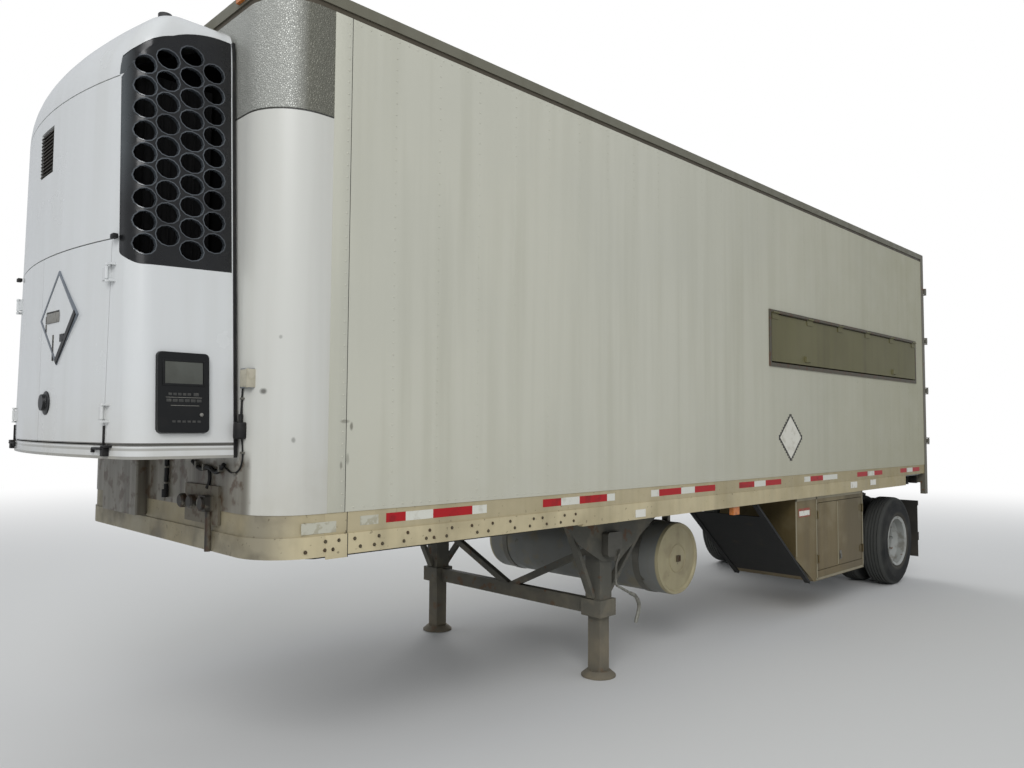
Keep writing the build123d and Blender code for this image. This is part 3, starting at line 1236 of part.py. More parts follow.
def unit_side(height):
    """The roadside face's own plane: first axis along Y, second up the leaning face."""
    share = (height - UNIT_BOTTOM) / (UNIT_TOP - UNIT_BOTTOM)
    half = UNIT_HALF_LOW + share * (UNIT_HALF_TOP - UNIT_HALF_LOW)
    outwards = Vector(1, 0, 0).rotate(Axis.Y, -unit_lean)
    return Plane(origin=(half, at(0), height), x_dir=(0, 1, 0), z_dir=outwards)


def grille_face(clearance, hand=1):
    """The grille's outline in side view, smaller by a clearance: straight sides under an arched top."""
    with BuildSketch(profile(hand * grille_inside)) as face:
        with BuildLine():
            Polyline((at(GRILLE_FRONT), GRILLE_SHOULDER), (at(GRILLE_FRONT), GRILLE_LOW),
                     (at(GRILLE_REAR), GRILLE_LOW + GRILLE_FOOT_RISE), (at(GRILLE_REAR), GRILLE_CROWN))
            ThreePointArc((at(GRILLE_REAR), GRILLE_CROWN), (at(GRILLE_ARCH[0]), GRILLE_ARCH[1]),
                          (at(GRILLE_FRONT), GRILLE_SHOULDER))
        make_face()
        foot = face.vertices().group_by(Axis.X)[0].sort_by(Axis.Y)[0]
        fillet(foot, GRILLE_FOOT_CORNER)
        if clearance:
            offset(amount=-clearance, kind=Kind.INTERSECTION)
    return face.sketch


# Cap over the unit, with the short exhaust stack
with BuildPart() as unit_cap:
    add(unit_shell)
    slab(unit_wide, unit_deep, (UNIT_CAP_SPLIT, UNIT_TOP), Mode.INTERSECT)
    for hand in (1, -1):
        extrude(grille_face(0, hand), amount=hand * UNIT_HALF_LOW, mode=Mode.SUBTRACT)
    with BuildSketch(plan(UNIT_TOP - 2 * UNIT_SKIN)):
        with Locations((UNIT_STACK_PLACE[0], at(UNIT_STACK_PLACE[1]))):
            Circle(UNIT_STACK_RADIUS)
    extrude(amount=UNIT_STACK_TOP - UNIT_TOP + 2 * UNIT_SKIN)
unit_cap.part.label = "unit_cap"
export_step(unit_cap.part, "parts/unit_cap.step")

# Upper front panel with a recessed vent
with BuildPart() as unit_front_panel:
    add(unit_shell)
    slab((-UNIT_DOOR_EDGE, UNIT_DOOR_EDGE), front_zone, (UNIT_SPLIT, UNIT_CAP_SPLIT - UNIT_SEAM),
         Mode.INTERSECT)
    slab(VENT_ACROSS, (-UNIT_DEPTH, VENT_DEPTH - UNIT_DEPTH), VENT_HEIGHTS, Mode.SUBTRACT)
unit_front_panel.part.label = "unit_front_panel"
export_step(unit_front_panel.part, "parts/unit_front_panel.step")

# Housing: sides, corners and skirt, open for the front panel, the doors and the grilles
door_face = UNIT_DEPTH - (UNIT_DEPTH - UNIT_EDGE_DEPTH) * (UNIT_DOOR_EDGE / UNIT_HALF_LOW) ** 2
unit_pin_station = -(door_face + UNIT_HINGE_OUT)
unit_ear_reach = UNIT_EAR + UNIT_EAR_GAP
with BuildPart() as unit_housing:
    add(unit_shell)
    slab(unit_wide, unit_deep, (UNIT_BOTTOM, UNIT_CAP_SPLIT), Mode.INTERSECT)
    slab((-UNIT_DOOR_EDGE, UNIT_DOOR_EDGE), front_zone, (UNIT_SKIRT_TOP, UNIT_CAP_SPLIT), Mode.SUBTRACT)
    for hand in (1, -1):
        extrude(grille_face(0, hand), amount=hand * UNIT_HALF_LOW, mode=Mode.SUBTRACT)
    with BuildPart(mode=Mode.PRIVATE) as skirt_seam:
        add(unit_groove)
        slab(unit_wide, unit_deep, (UNIT_SKIRT_TOP, UNIT_SKIRT_TOP + UNIT_SEAM), Mode.INTERSECT)
    add(skirt_seam.part, mode=Mode.SUBTRACT)
    extrude(unit_outline(UNIT_SKIN, UNIT_HALF_LOW - UNIT_SKIN, UNIT_BOTTOM), amount=UNIT_SKIN)
    for hand in (1, -1):
        pin_place = (hand * UNIT_DOOR_EDGE, at(unit_pin_station))
        for low in UNIT_KNUCKLE_PLACES:
            for ear_low in (low - unit_ear_reach, low + UNIT_KNUCKLE + UNIT_EAR_GAP):
                with BuildSketch(plan(ear_low)):
                    ground((hand * (UNIT_DOOR_EDGE + BELLY_EAR_GAP), unit_pin_station),
                           (hand * (UNIT_DOOR_EDGE + UNIT_EAR_ROOT), 3 * UNIT_HINGE_OUT - door_face))
                    with Locations(pin_place):
                        Circle(UNIT_BARREL)
                extrude(amount=UNIT_EAR)
            with BuildSketch(plan(low - unit_ear_reach)):
                with Locations(pin_place):
                    Circle(UNIT_PIN)
            extrude(amount=UNIT_KNUCKLE + 2 * unit_ear_reach)
unit_housing.part.label = "unit_housing"
export_step(unit_housing.part, "parts/unit_housing.step")

# Front doors of the unit, hinged at the corners, with a round knob beside the centre seam
for word, hand in (("left", 1), ("right", -1)):
    with BuildPart() as unit_door:
        add(unit_shell)
        slab((hand * UNIT_SEAM / 2, hand * (UNIT_DOOR_EDGE - UNIT_SEAM)), front_zone,
             (UNIT_SKIRT_TOP + UNIT_SEAM, UNIT_SPLIT - UNIT_SEAM), Mode.INTERSECT)
        for low in UNIT_KNUCKLE_PLACES:
            with BuildSketch(plan(low)):
                ground((hand * (UNIT_DOOR_EDGE - UNIT_LEAF), 2 * UNIT_HINGE_OUT - door_face),
                       (hand * UNIT_DOOR_EDGE, unit_pin_station + BELLY_EAR_GAP))
                with Locations((hand * UNIT_DOOR_EDGE, at(unit_pin_station))):
                    Circle(UNIT_BARREL)
                    Circle(UNIT_PIN + PIN_CLEARANCE, mode=Mode.SUBTRACT)
            extrude(amount=UNIT_KNUCKLE)
        if hand == 1:
            with BuildSketch(section(UNIT_PIN - UNIT_DEPTH)):
                with Locations(UNIT_KNOB_PLACE):
                    Circle(UNIT_KNOB)
            extrude(amount=UNIT_KNOB_OUT + UNIT_PIN, taper=15)
    unit_door.part.label = f"unit_{word}_door"
    export_step(unit_door.part, f"parts/unit_{word}_door.step")

# Honeycomb grilles that follow the unit's leaning sides round its front corners
with BuildPart() as unit_left_grille:
    add(unit_shell)
    extrude(grille_face(GRILLE_CLEARANCE), amount=UNIT_HALF_LOW, mode=Mode.INTERSECT)
    turns = [number * 2 * pi / GRILLE_HOLE_SIDES for number in range(GRILLE_HOLE_SIDES)]
    with BuildSketch(profile(grille_inside)):
        for column, (station, reach, rows) in enumerate(GRILLE_COLUMNS):
            hole_points = [(reach * cos(turn), GRILLE_HOLE_RISE * sin(turn)) for turn in turns]
            stagger = GRILLE_ROW_PITCH / 2 * (column % 2)
            for row in range(rows):
                with Locations((at(station), GRILLE_ROW_FIRST + stagger + row * GRILLE_ROW_PITCH)):
                    Polygon(*hole_points, align=None)
    extrude(amount=UNIT_HALF_LOW, mode=Mode.SUBTRACT)
unit_left_grille.part.label = "unit_left_grille"
export_step(unit_left_grille.part, "parts/unit_left_grille.step")

with BuildPart() as unit_right_grille:
    add(unit_left_grille.part.mirror(Plane.YZ))
unit_right_grille.part.label = "unit_right_grille"
export_step(unit_right_grille.part, "parts/unit_right_grille.step")

# Control panel on the roadside lower panel
with BuildPart() as control_panel:
    with BuildSketch(unit_side(PANEL_HEIGHTS[0])) as panel_sketch:
        area((PANEL_STATIONS[0], 0), (PANEL_STATIONS[1], PANEL_HEIGHTS[1] - PANEL_HEIGHTS[0]))
        fillet(panel_sketch.vertices(), PANEL_CORNER)
    extrude(amount=PANEL_DEPTH, taper=PANEL_TAPER)
control_panel.part.label = "control_panel"
export_step(control_panel.part, "parts/control_panel.step")

# Engine and compressor as one plain block on the unit's base
with BuildPart() as unit_block:
    slab((-ENGINE_HALF, ENGINE_HALF), ENGINE_STATIONS, (UNIT_BOTTOM + UNIT_SKIN, ENGINE_TOP))
unit_block.part.label = "unit_block"
export_step(unit_block.part, "parts/unit_block.step")

# Evaporator inside the load space, its lower rear edge cut back
evaporator_rear = FRONT_WALL + EVAPORATOR_DEPTH
with BuildPart() as evaporator:
    with BuildSketch(profile(-EVAPORATOR_HALF)):
        with BuildLine():
            Polyline((at(FRONT_WALL), EVAPORATOR_HEIGHTS[0]),
                     (at(evaporator_rear - EVAPORATOR_CUT[0]), EVAPORATOR_HEIGHTS[0]),
                     (at(evaporator_rear), EVAPORATOR_HEIGHTS[0] + EVAPORATOR_CUT[1]),
                     (at(evaporator_rear), EVAPORATOR_HEIGHTS[1]), (at(FRONT_WALL), EVAPORATOR_HEIGHTS[1]),
                     close=True)
        make_face()
    extrude(amount=2 * EVAPORATOR_HALF)
evaporator.part.label = "evaporator"
export_step(evaporator.part, "parts/evaporator.step")

# Air and electrical connections on a plate below the unit, with the conduit that runs down from it
with BuildPart() as gladhand_plate:
    slab(COUPLING_ACROSS, (-COUPLING_PLATE, 0), COUPLING_HEIGHTS)
    for across in GLADHAND_PLACES:
        gladhand_foot = (across, at(-COUPLING_PLATE), GLADHAND_HEIGHT)
        with BuildSketch(Plane(origin=gladhand_foot, x_dir=(0, -1, 0), z_dir=(1, 0, 0))):
            with BuildLine():
                Polyline((0, 0), *GLADHAND_PROFILE, (GLADHAND_PROFILE[-1][0], 0), close=True)
            make_face()
        revolve(axis=Axis(gladhand_foot, (0, 1, 0)))
    with BuildSketch(section(-COUPLING_PLATE)):
        with Locations((SOCKET_PLACE, GLADHAND_HEIGHT)):
            RectangleRounded(SOCKET_SIZE, SOCKET_SIZE, CABINET_CORNER)
    extrude(amount=SOCKET_DEPTH)
    with BuildSketch(section(-COUPLING_PLATE - SOCKET_DEPTH)):
        with Locations((SOCKET_PLACE, GLADHAND_HEIGHT)):
            Circle(SOCKET_CAP)
    extrude(amount=COUPLING_PLATE)
    with BuildSketch(plan(CONDUIT_LOW)):
        with Locations((SOCKET_PLACE, at(-COUPLING_PLATE - CONDUIT_RADIUS / 2))):
            Circle(CONDUIT_RADIUS)
    extrude(amount=GLADHAND_HEIGHT - CONDUIT_LOW)
gladhand_plate.part.label = "gladhand_plate"
export_step(gladhand_plate.part, "parts/gladhand_plate.step")

# Shallow cabinet on the front wall beside the connections
with BuildPart() as front_cabinet:
    slab(CABINET_ACROSS, (-CABINET_DEPTH, 0), CABINET_HEIGHTS)
    front_edges = front_cabinet.edges().filter_by(Axis.Z).group_by(Axis.Y)[0]
    fillet(front_edges, CABINET_CORNER)
front_cabinet.part.label = "front_cabinet"
export_step(front_cabinet.part, "parts/front_cabinet.step")

# Lamps: amber at the front and along the sides, red at the rear
with BuildPart() as amber_lamps:
    for hand in (1, -1):
        lamp_outside = HALF - SIDE_LAMP_INSET
        slab((hand * (lamp_outside - SIDE_LAMP_WIDTH), hand * lamp_outside),
             (SIDE_LAMP_STATION - LAMP_LENGTH / 2, SIDE_LAMP_STATION + LAMP_LENGTH / 2),
             (RAIL_BOTTOM - SIDE_LAMP_DROP, RAIL_BOTTOM))
        front_low = BODY_TOP - LAMP_HEIGHT - UNIT_EAR
        slab((hand * FRONT_LAMP - LAMP_LENGTH / 2, hand * FRONT_LAMP + LAMP_LENGTH / 2),
             (-PANEL_INSET - LAMP_DEPTH, -PANEL_INSET), (front_low, front_low + LAMP_HEIGHT))
amber_lamps.part.label = "amber_lamps"
export_step(amber_lamps.part, "parts/amber_lamps.step")

with BuildPart() as red_lamps:
    for across in REAR_LAMPS:
        rear_low = BODY_TOP - LAMP_HEIGHT - 2 * UNIT_EAR
        slab((across - LAMP_LENGTH / 2, across + LAMP_LENGTH / 2), (BODY_LENGTH, BODY_LENGTH + LAMP_DEPTH),
             (rear_low, rear_low + LAMP_HEIGHT))
    for hand in (1, -1):
        for across in TAIL_LAMPS:
            with BuildSketch(section(BODY_LENGTH)):
                with Locations((hand * across, TAIL_LAMP_HEIGHT)):
                    Circle(TAIL_LAMP_RADIUS)
            extrude(amount=-LAMP_DEPTH)
red_lamps.part.label = "red_lamps"
export_step(red_lamps.part, "parts/red_lamps.step")
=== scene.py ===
# %% [markdown]
# # A refrigerated semi trailer on its landing gear
# The CAD model gives the size, the joints and all main solids. This lesson dresses it: finishes for every
# CAD node, then the rivets, bolts, tape, seams, the cap and grille rims of the cooling unit, and the tyres.
# It starts with the frame, which holds every CAD node in metres: +X is the roadside, +Y the rear, +Z up.

import json
from math import asin, atan2, cos, hypot, pi, radians, sin, sqrt

import bpy
from mathutils import Matrix, Vector


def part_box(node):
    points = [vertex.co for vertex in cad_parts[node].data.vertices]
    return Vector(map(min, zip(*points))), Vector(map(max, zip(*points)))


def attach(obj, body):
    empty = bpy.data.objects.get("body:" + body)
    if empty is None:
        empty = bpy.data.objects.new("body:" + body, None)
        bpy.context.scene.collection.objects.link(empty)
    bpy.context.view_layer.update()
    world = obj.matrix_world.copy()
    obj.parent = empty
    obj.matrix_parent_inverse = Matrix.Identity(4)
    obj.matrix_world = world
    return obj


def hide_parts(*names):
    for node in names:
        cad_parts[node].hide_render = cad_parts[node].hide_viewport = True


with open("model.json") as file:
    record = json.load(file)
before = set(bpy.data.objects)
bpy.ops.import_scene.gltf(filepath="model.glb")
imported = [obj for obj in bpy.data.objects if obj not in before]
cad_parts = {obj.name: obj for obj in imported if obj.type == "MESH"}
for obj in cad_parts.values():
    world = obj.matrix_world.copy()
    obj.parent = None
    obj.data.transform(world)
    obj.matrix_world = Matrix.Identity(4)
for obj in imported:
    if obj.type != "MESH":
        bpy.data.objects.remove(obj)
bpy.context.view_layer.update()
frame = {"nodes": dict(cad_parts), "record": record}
nodes = frame["nodes"]

# %% [markdown]
# ## Places that everything else is measured from
# A trailer is measured in stations, metres from the front wall's outer face towards the rear. Writing
# places as stations keeps each number readable on the real object, so one small function turns them into Y.

# %% Driving places read from the frame
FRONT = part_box("front_wall")[0][1]
RAIL_BOX_LOW, RAIL_BOX_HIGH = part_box("left_bottom_rail")
RAIL_HALF, RAIL_LOW = RAIL_BOX_HIGH[0], RAIL_BOX_LOW[2]
WALL_BOX_LOW, WALL_BOX_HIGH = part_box("left_wall")
PANEL_LOW, PANEL_HIGH = WALL_BOX_LOW[2], WALL_BOX_HIGH[2]
PANEL_FACE, PANEL_START = WALL_BOX_HIGH[0], WALL_BOX_LOW[1] - FRONT
BODY_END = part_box("rear_frame")[1][1] - FRONT
LEDGE = RAIL_LOW + 0.12
TYRE_BOX_LOW, TYRE_BOX_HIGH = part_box("left_tyres")
AXLE_STATION = (TYRE_BOX_LOW[1] + TYRE_BOX_HIGH[1]) / 2 - FRONT
TYRE_RADIUS = (TYRE_BOX_HIGH[2] - TYRE_BOX_LOW[2]) / 2


def at(station):
    """The Y of a station."""
    return FRONT + station


print("panel from station", round(PANEL_START, 3), "axle at", round(AXLE_STATION, 3))

# %% [markdown]
# ## The camera
# The photograph was taken close to the front corner with a wide lens. The camera's place and turn were
# fitted to points whose real places are known, so it is built from those angles and is not aimed by eye.

# %% Camera at the photograph's viewing angle
CAMERA_PLACE = Vector((4.83, at(-1.86), 1.86))
CAMERA_TURN, CAMERA_PITCH, CAMERA_ROLL = radians(45.2), radians(3.1), radians(0.36)
LENS_PIXELS = 799.0
PHOTO_WIDTH = 1024

level = Vector((cos(CAMERA_TURN), sin(CAMERA_TURN), 0))
ahead = Vector((-sin(CAMERA_TURN), cos(CAMERA_TURN), 0))
forward = cos(CAMERA_PITCH) * ahead + Vector((0, 0, sin(CAMERA_PITCH)))
upright = level.cross(forward)
right = cos(CAMERA_ROLL) * level + sin(CAMERA_ROLL) * upright
above = cos(CAMERA_ROLL) * upright - sin(CAMERA_ROLL) * level
camera_data = bpy.data.cameras.new("camera")
camera_data.sensor_width = 36
camera_data.lens = LENS_PIXELS / PHOTO_WIDTH * camera_data.sensor_width
camera_data.clip_end = 200
camera = bpy.data.objects.new("camera", camera_data)
turned = Matrix((right, above, -forward)).transposed().to_4x4()
camera.matrix_world = Matrix.Translation(CAMERA_PLACE) @ turned
bpy.context.scene.collection.objects.link(camera)
bpy.context.scene.camera = camera
print("lens", round(camera_data.lens, 2), "mm")

# %% [markdown]
# ## Trees of nodes
# Floor, sky and finishes are trees of nodes. By hand, a node is added, its boxes are filled in and wires are
# drawn to its sockets. Two helpers do the same, so that each line below reads as one node with what feeds it.

# %% Node helpers
def feed(tree, socket, value):
    """Draws a wire from another node's output to a socket, or sets the socket to a number or a colour."""
    if isinstance(value, bpy.types.NodeSocket):
        tree.links.new(value, socket)
    else:
        socket.default_value = value


def add_node(tree, kind, inputs=None, **settings):
    """A new node with its settings, and what goes into its sockets by title or number."""
    node = tree.nodes.new("ShaderNode" + kind)
    for title, value in settings.items():
        setattr(node, title, value)
    for title, value in (inputs or {}).items():
        feed(tree, node.inputs[title], value)
    return node


def maths(tree, operation, first, second):
    """A maths node between sockets or numbers; returns its output."""
    return add_node(tree, "Math", {0: first, 1: second}, operation=operation).outputs[0]


def remap(tree, value, low, high, to_low=0.0, to_high=1.0, **settings):
    """Maps low..high of a value to another range, clamped."""
    limits = {"Value": value, "From Min": low, "From Max": high, "To Min": to_low, "To Max": to_high}
    return add_node(tree, "MapRange", limits, **settings).outputs[0]


def vector_maths(tree, operation, first, second=(0, 0, 0)):
    """A maths node between vectors; returns the node."""
    return add_node(tree, "VectorMath", {0: first, 1: second}, operation=operation)


def own_place(tree):
    """The object's own coordinates, in metres."""
    return add_node(tree, "TexCoord").outputs["Object"]


def axis_of(tree, place, axis):
    """One coordinate of a place."""
    return add_node(tree, "SeparateXYZ", {0: place}).outputs[axis]


# %% [markdown]
# ## Floor, world and light
# A soft studio: one pale floor, an even sky light and two large lamps. The backdrop is white only to the
# camera, so that it doesn't add light to the object, and the floor fades to that white far from the trailer.

# %% Pale floor
FADE_START, FADE_END = 7.0, 22.0

bpy.ops.object.select_all(action="DESELECT")
bpy.ops.mesh.primitive_plane_add(size=160, location=(0, 0, -0.002))
floor_plane = bpy.context.object
floor_plane.name = "studio_floor"
floor_finish = bpy.data.materials.new("studio_floor")
floor_finish.use_nodes = True
tree = floor_finish.node_tree
floor_shader = tree.nodes["Principled BSDF"]
for title, value in (("Base Color", (0.66, 0.66, 0.65, 1)), ("Roughness", 0.95), ("Specular IOR Level", 0.1)):
    floor_shader.inputs[title].default_value = value
distance = vector_maths(tree, "LENGTH", own_place(tree)).outputs["Value"]
fade = remap(tree, distance, FADE_START, FADE_END, interpolation_type="SMOOTHSTEP")
seen_floor = maths(tree, "MULTIPLY", add_node(tree, "LightPath").outputs["Is Camera Ray"], fade)
floor_white = add_node(tree, "Emission").outputs[0]
floor_mix = add_node(tree, "MixShader", {0: seen_floor, 1: floor_shader.outputs[0], 2: floor_white})
feed(tree, tree.nodes["Material Output"].inputs["Surface"], floor_mix.outputs[0])
floor_plane.data.materials.append(floor_finish)

# %% World that is white to the camera and softer as light
world = bpy.data.worlds.new("studio")
bpy.context.scene.world = world
world.use_nodes = True
tree = world.node_tree
tree.nodes.clear()
ray = add_node(tree, "LightPath").outputs
seen = maths(tree, "MAXIMUM", ray["Is Camera Ray"], ray["Is Transmission Ray"])
light_sky = add_node(tree, "Background", {"Color": (0.93, 0.96, 1.0, 1), "Strength": 0.62})
white_sky = add_node(tree, "Background", {"Color": (1, 1, 1, 1), "Strength": 1.0})
sky_mix = add_node(tree, "MixShader", {0: seen, 1: light_sky.outputs[0], 2: white_sky.outputs[0]})
add_node(tree, "OutputWorld", {"Surface": sky_mix.outputs[0]})
bpy.context.scene.view_settings.view_transform = "Standard"

# %% Two soft lamps
def soft_lamp(name, place, aim, size, power):
    """A square lamp that shines from a place towards an aim."""
    lamp_data = bpy.data.lights.new(name, "AREA")
    lamp_data.shape = "SQUARE"
    lamp_data.size = size
    lamp_data.energy = power
    lamp = bpy.data.objects.new(name, lamp_data)
    lamp.location = place
    lamp.rotation_euler = (Vector(aim) - Vector(place)).to_track_quat("-Z", "Y").to_euler()
    bpy.context.scene.collection.objects.link(lamp)


soft_lamp("key_lamp", (11, -13, 12), (0, -1, 1.5), 9, 1500)
soft_lamp("fill_lamp", (-12, 9, 9), (0, 0, 2), 9, 900)

# %% [markdown]
# ## Tools of the workshop
# Most small pieces start as a cube or a cylinder at its size and place and are cut, bevelled and copied.
# The helpers keep the selection clean, because an operator acts on everything that is selected.

# %% Selecting and settling
MATERIALS = {}


def only(piece):
    """Selects one object alone and makes it active."""
    bpy.ops.object.select_all(action="DESELECT")
    piece.select_set(True)
    bpy.context.view_layer.objects.active = piece


def settle(piece):
    """Moves an object's place, turn and size into its mesh."""
    only(piece)
    bpy.ops.object.transform_apply(location=True, rotation=True, scale=True)


def placed(piece, place=(0, 0, 0), turn=(0, 0, 0)):
    """Turns a piece that was made round the origin, moves it to its place and settles it there."""
    piece.rotation_euler = turn
    piece.location = place
    settle(piece)
    return piece


def copy_of(piece, name, place=(0, 0, 0)):
    """A copy with its own mesh."""
    other = piece.copy()
    other.data = piece.data.copy()
    other.name = name
    other.location = place
    bpy.context.scene.collection.objects.link(other)
    return other


# %% Edit mode
def edit_all(piece):
    """Enters edit mode with the whole mesh selected."""
    only(piece)
    bpy.ops.object.mode_set(mode="EDIT")
    bpy.ops.mesh.select_all(action="SELECT")


def leave_edit():
    bpy.ops.object.mode_set(mode="OBJECT")


def face_out(merge=0.0):
    """In edit mode, merges points closer than a distance, turns all faces outwards and leaves the mode."""
    bpy.ops.mesh.select_all(action="SELECT")
    if merge:
        bpy.ops.mesh.remove_doubles(threshold=merge)
    bpy.ops.mesh.normals_make_consistent(inside=False)
    leave_edit()


def pick_faces(piece, wanted):
    """Enters edit mode with only the faces selected that wanted(centre, normal) accepts."""
    only(piece)
    bpy.ops.object.mode_set(mode="EDIT")
    bpy.context.tool_settings.mesh_select_mode = (False, False, True)
    bpy.ops.mesh.select_all(action="DESELECT")
    leave_edit()
    for face in piece.data.polygons:
        face.select = wanted(face.center, face.normal)
    bpy.ops.object.mode_set(mode="EDIT")


def sink(piece, wanted, margin, depth):
    """Insets the wanted faces by a margin and pushes them by a depth, as for a rim or a recess."""
    pick_faces(piece, wanted)
    bpy.ops.mesh.inset(thickness=margin)
    bpy.ops.mesh.extrude_region_move(TRANSFORM_OT_translate={"value": depth})
    leave_edit()


def nudge(piece, step):
    """Moves a whole mesh a little."""
    edit_all(piece)
    bpy.ops.transform.translate(value=step)
    leave_edit()


def cut(piece, place, normal):
    """Cuts away what lies on the far side of a plane and leaves the cut open."""
    edit_all(piece)
    bpy.ops.mesh.bisect(plane_co=place, plane_no=normal, clear_outer=True)
    leave_edit()


# %% Modifiers that are applied at once
def work(piece, kind, **settings):
    """Adds one modifier with its settings and applies it."""
    only(piece)
    modifier = piece.modifiers.new(kind, kind)
    for title, value in settings.items():
        setattr(modifier, title, value)
    bpy.ops.object.modifier_apply(modifier=modifier.name)


def soften(piece, width, segments=2):
    """Rounds the sharp edges."""
    work(piece, "BEVEL", width=width, segments=segments, limit_method="ANGLE")


def array(piece, count, step):
    """Repeats a mesh in a row."""
    work(piece, "ARRAY", count=count, use_relative_offset=False, use_constant_offset=True,
         constant_offset_displace=step)


def thicken(piece, thickness, offset):
    """Gives a sheet its thickness, centred on it at offset 0."""
    work(piece, "SOLIDIFY", thickness=thickness, offset=offset)


def carve(piece, tool, operation="DIFFERENCE"):
    """Cuts a piece with a tool, or keeps what both share."""
    work(piece, "BOOLEAN", operation=operation, object=tool, solver="EXACT")


# %% Joining, copying and handing over
def join(parts, name=None):
    """Joins objects into the first one, under its name or a new one."""
    name = name or parts[0].name
    bpy.ops.object.select_all(action="DESELECT")
    for part in parts:
        part.select_set(True)
    bpy.context.view_layer.objects.active = parts[0]
    if len(parts) > 1:
        bpy.ops.object.join()
    parts[0].name = name
    settle(parts[0])
    return parts[0]


def spread(piece, places):
    """Copies a mesh to a list of places, each copy with its own mesh, and joins them under its name."""
    name = piece.name
    copies = [copy_of(piece, name, place) for place in places]
    bpy.data.objects.remove(piece)
    return join(copies, name)


def mirrored(piece, name, hand):
    """A copy with its own mesh at the same place, or mirrored to the other side."""
    other = copy_of(piece, name)
    if hand < 0:
        other.scale.x = -1
        settle(other)
        edit_all(other)
        face_out()
    return other


def hand_over(piece, body, finish, angle=35):
    """Smooths a finished piece, gives it its material and lets it ride on its body."""
    settle(piece)
    bpy.ops.object.shade_smooth_by_angle(angle=radians(angle))
    piece.data.materials.clear()
    piece.data.materials.append(MATERIALS[finish])
    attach(piece, body)
    print(piece.name, len(piece.data.polygons), "faces on", body)


def both_sides(piece, finish):
    """Hands over a roadside piece and its mirror image on the kerbside."""
    other = mirrored(piece, f"right_{piece.name}", -1)
    piece.name = f"left_{piece.name}"
    hand_over(piece, "trailer", finish)
    hand_over(other, "trailer", finish)


# %% Starting shapes
TURNS = {"x": (0, radians(90), 0), "-x": (0, radians(-90), 0), "y": (radians(90), 0, 0),
         "-y": (radians(-90), 0, 0), "z": (0, 0, 0)}


def started(name):
    """Names and settles the primitive that was just added."""
    bpy.context.object.name = name
    settle(bpy.context.object)
    return bpy.context.object


def block(name, low, high):
    """A cuboid between two corners, as a start."""
    bpy.ops.object.select_all(action="DESELECT")
    low, high = Vector(low), Vector(high)
    bpy.ops.mesh.primitive_cube_add(size=1, location=(low + high) / 2, scale=high - low)
    return started(name)


def blocks(name, corners, edge=0.0, segments=2):
    """Cuboids between pairs of corners, each corner as (across, station, height), softened and joined."""
    parts = []
    for low, high in corners:
        part = block(name, (low[0], at(low[1]), low[2]), (high[0], at(high[1]), high[2]))
        if edge:
            soften(part, edge, segments)
        parts.append(part)
    return join(parts)


def rod(name, centre, radius, length, axis, sides=24):
    """A cylinder along one axis, as a start."""
    bpy.ops.object.select_all(action="DESELECT")
    bpy.ops.mesh.primitive_cylinder_add(vertices=sides, radius=radius, depth=length, location=centre,
                                        rotation=TURNS[axis])
    return started(name)


def dome(name, radius, height, axis, sides):
    """A rivet's head at the origin: half a ball, pressed flat, that points along an axis."""
    bpy.ops.object.select_all(action="DESELECT")
    bpy.ops.mesh.primitive_uv_sphere_add(segments=sides, ring_count=6, radius=radius)
    head = bpy.context.object
    head.name = name
    edit_all(head)
    bpy.ops.mesh.bisect(plane_co=(0, 0, 0), plane_no=(0, 0, 1), clear_inner=True, use_fill=True)
    bpy.ops.mesh.select_all(action="SELECT")
    bpy.ops.transform.resize(value=(1, 1, height / radius), center_override=(0, 0, 0))
    leave_edit()
    return placed(head, turn=TURNS[axis])


# %% Outlines that are drawn
def drawn_line(name, points):
    """A chain of edges through points, drawn by extruding one vertex from each point to the next."""
    bpy.ops.object.select_all(action="DESELECT")
    bpy.ops.mesh.primitive_plane_add(size=0.01, location=(0, 0, 0))
    line = bpy.context.object
    line.name = name
    bpy.ops.object.mode_set(mode="EDIT")
    bpy.ops.mesh.select_mode(type="VERT")
    bpy.ops.mesh.select_all(action="SELECT")
    bpy.ops.mesh.merge(type="CENTER")
    bpy.ops.transform.translate(value=points[0])
    for start, end in zip(points, points[1:]):
        bpy.ops.mesh.extrude_region_move(TRANSFORM_OT_translate={"value": Vector(end) - Vector(start)})
    leave_edit()
    return line


def drawn_prism(name, points, pull):
    """A solid from an outline that is drawn, filled with one face and pulled out."""
    prism = drawn_line(name, [*points, points[0]])
    edit_all(prism)
    bpy.ops.mesh.remove_doubles(threshold=0.0001)
    bpy.ops.mesh.edge_face_add()
    bpy.ops.mesh.extrude_region_move(TRANSFORM_OT_translate={"value": pull})
    face_out()
    return prism


def pipe(name, points, radius, sides=8):
    """A round cable or hose: a curve with a round section along points, turned into a mesh."""
    bpy.ops.object.select_all(action="DESELECT")
    bpy.ops.curve.primitive_bezier_curve_add(location=(0, 0, 0))
    line = bpy.context.object
    line.name = name
    spline = line.data.splines[0]
    spline.bezier_points.add(len(points) - 2)
    for knot, (across, station, height) in zip(spline.bezier_points, points):
        knot.co = (across, at(station), height)
        knot.handle_left_type = knot.handle_right_type = "AUTO"
    line.data.bevel_depth = radius
    line.data.bevel_resolution = max(1, sides // 4)
    line.data.use_fill_caps = True
    line.data.resolution_u = 8
    only(line)
    bpy.ops.object.convert(target="MESH")
    bpy.context.object.name = name
    return bpy.context.object


# %% [markdown]
# ## Finishes
# Every finish is worked out by nodes from the object's own coordinates, in metres. What several finishes
# share, such as rain streaks, road dust and brushed grain, is a node group with a mask as its output. The
# shader itself stays in each material, and a chain of mix nodes lays one colour over another.

# %% Colours, groups and noise
def tone(red, green, blue):
    """An sRGB colour of 0 to 255 as the linear colour that a shader takes."""
    values = [value / 255 for value in (red, green, blue)]
    return tuple(value / 12.92 if value <= 0.04045 else ((value + 0.055) / 1.055) ** 2.4 for value in values)


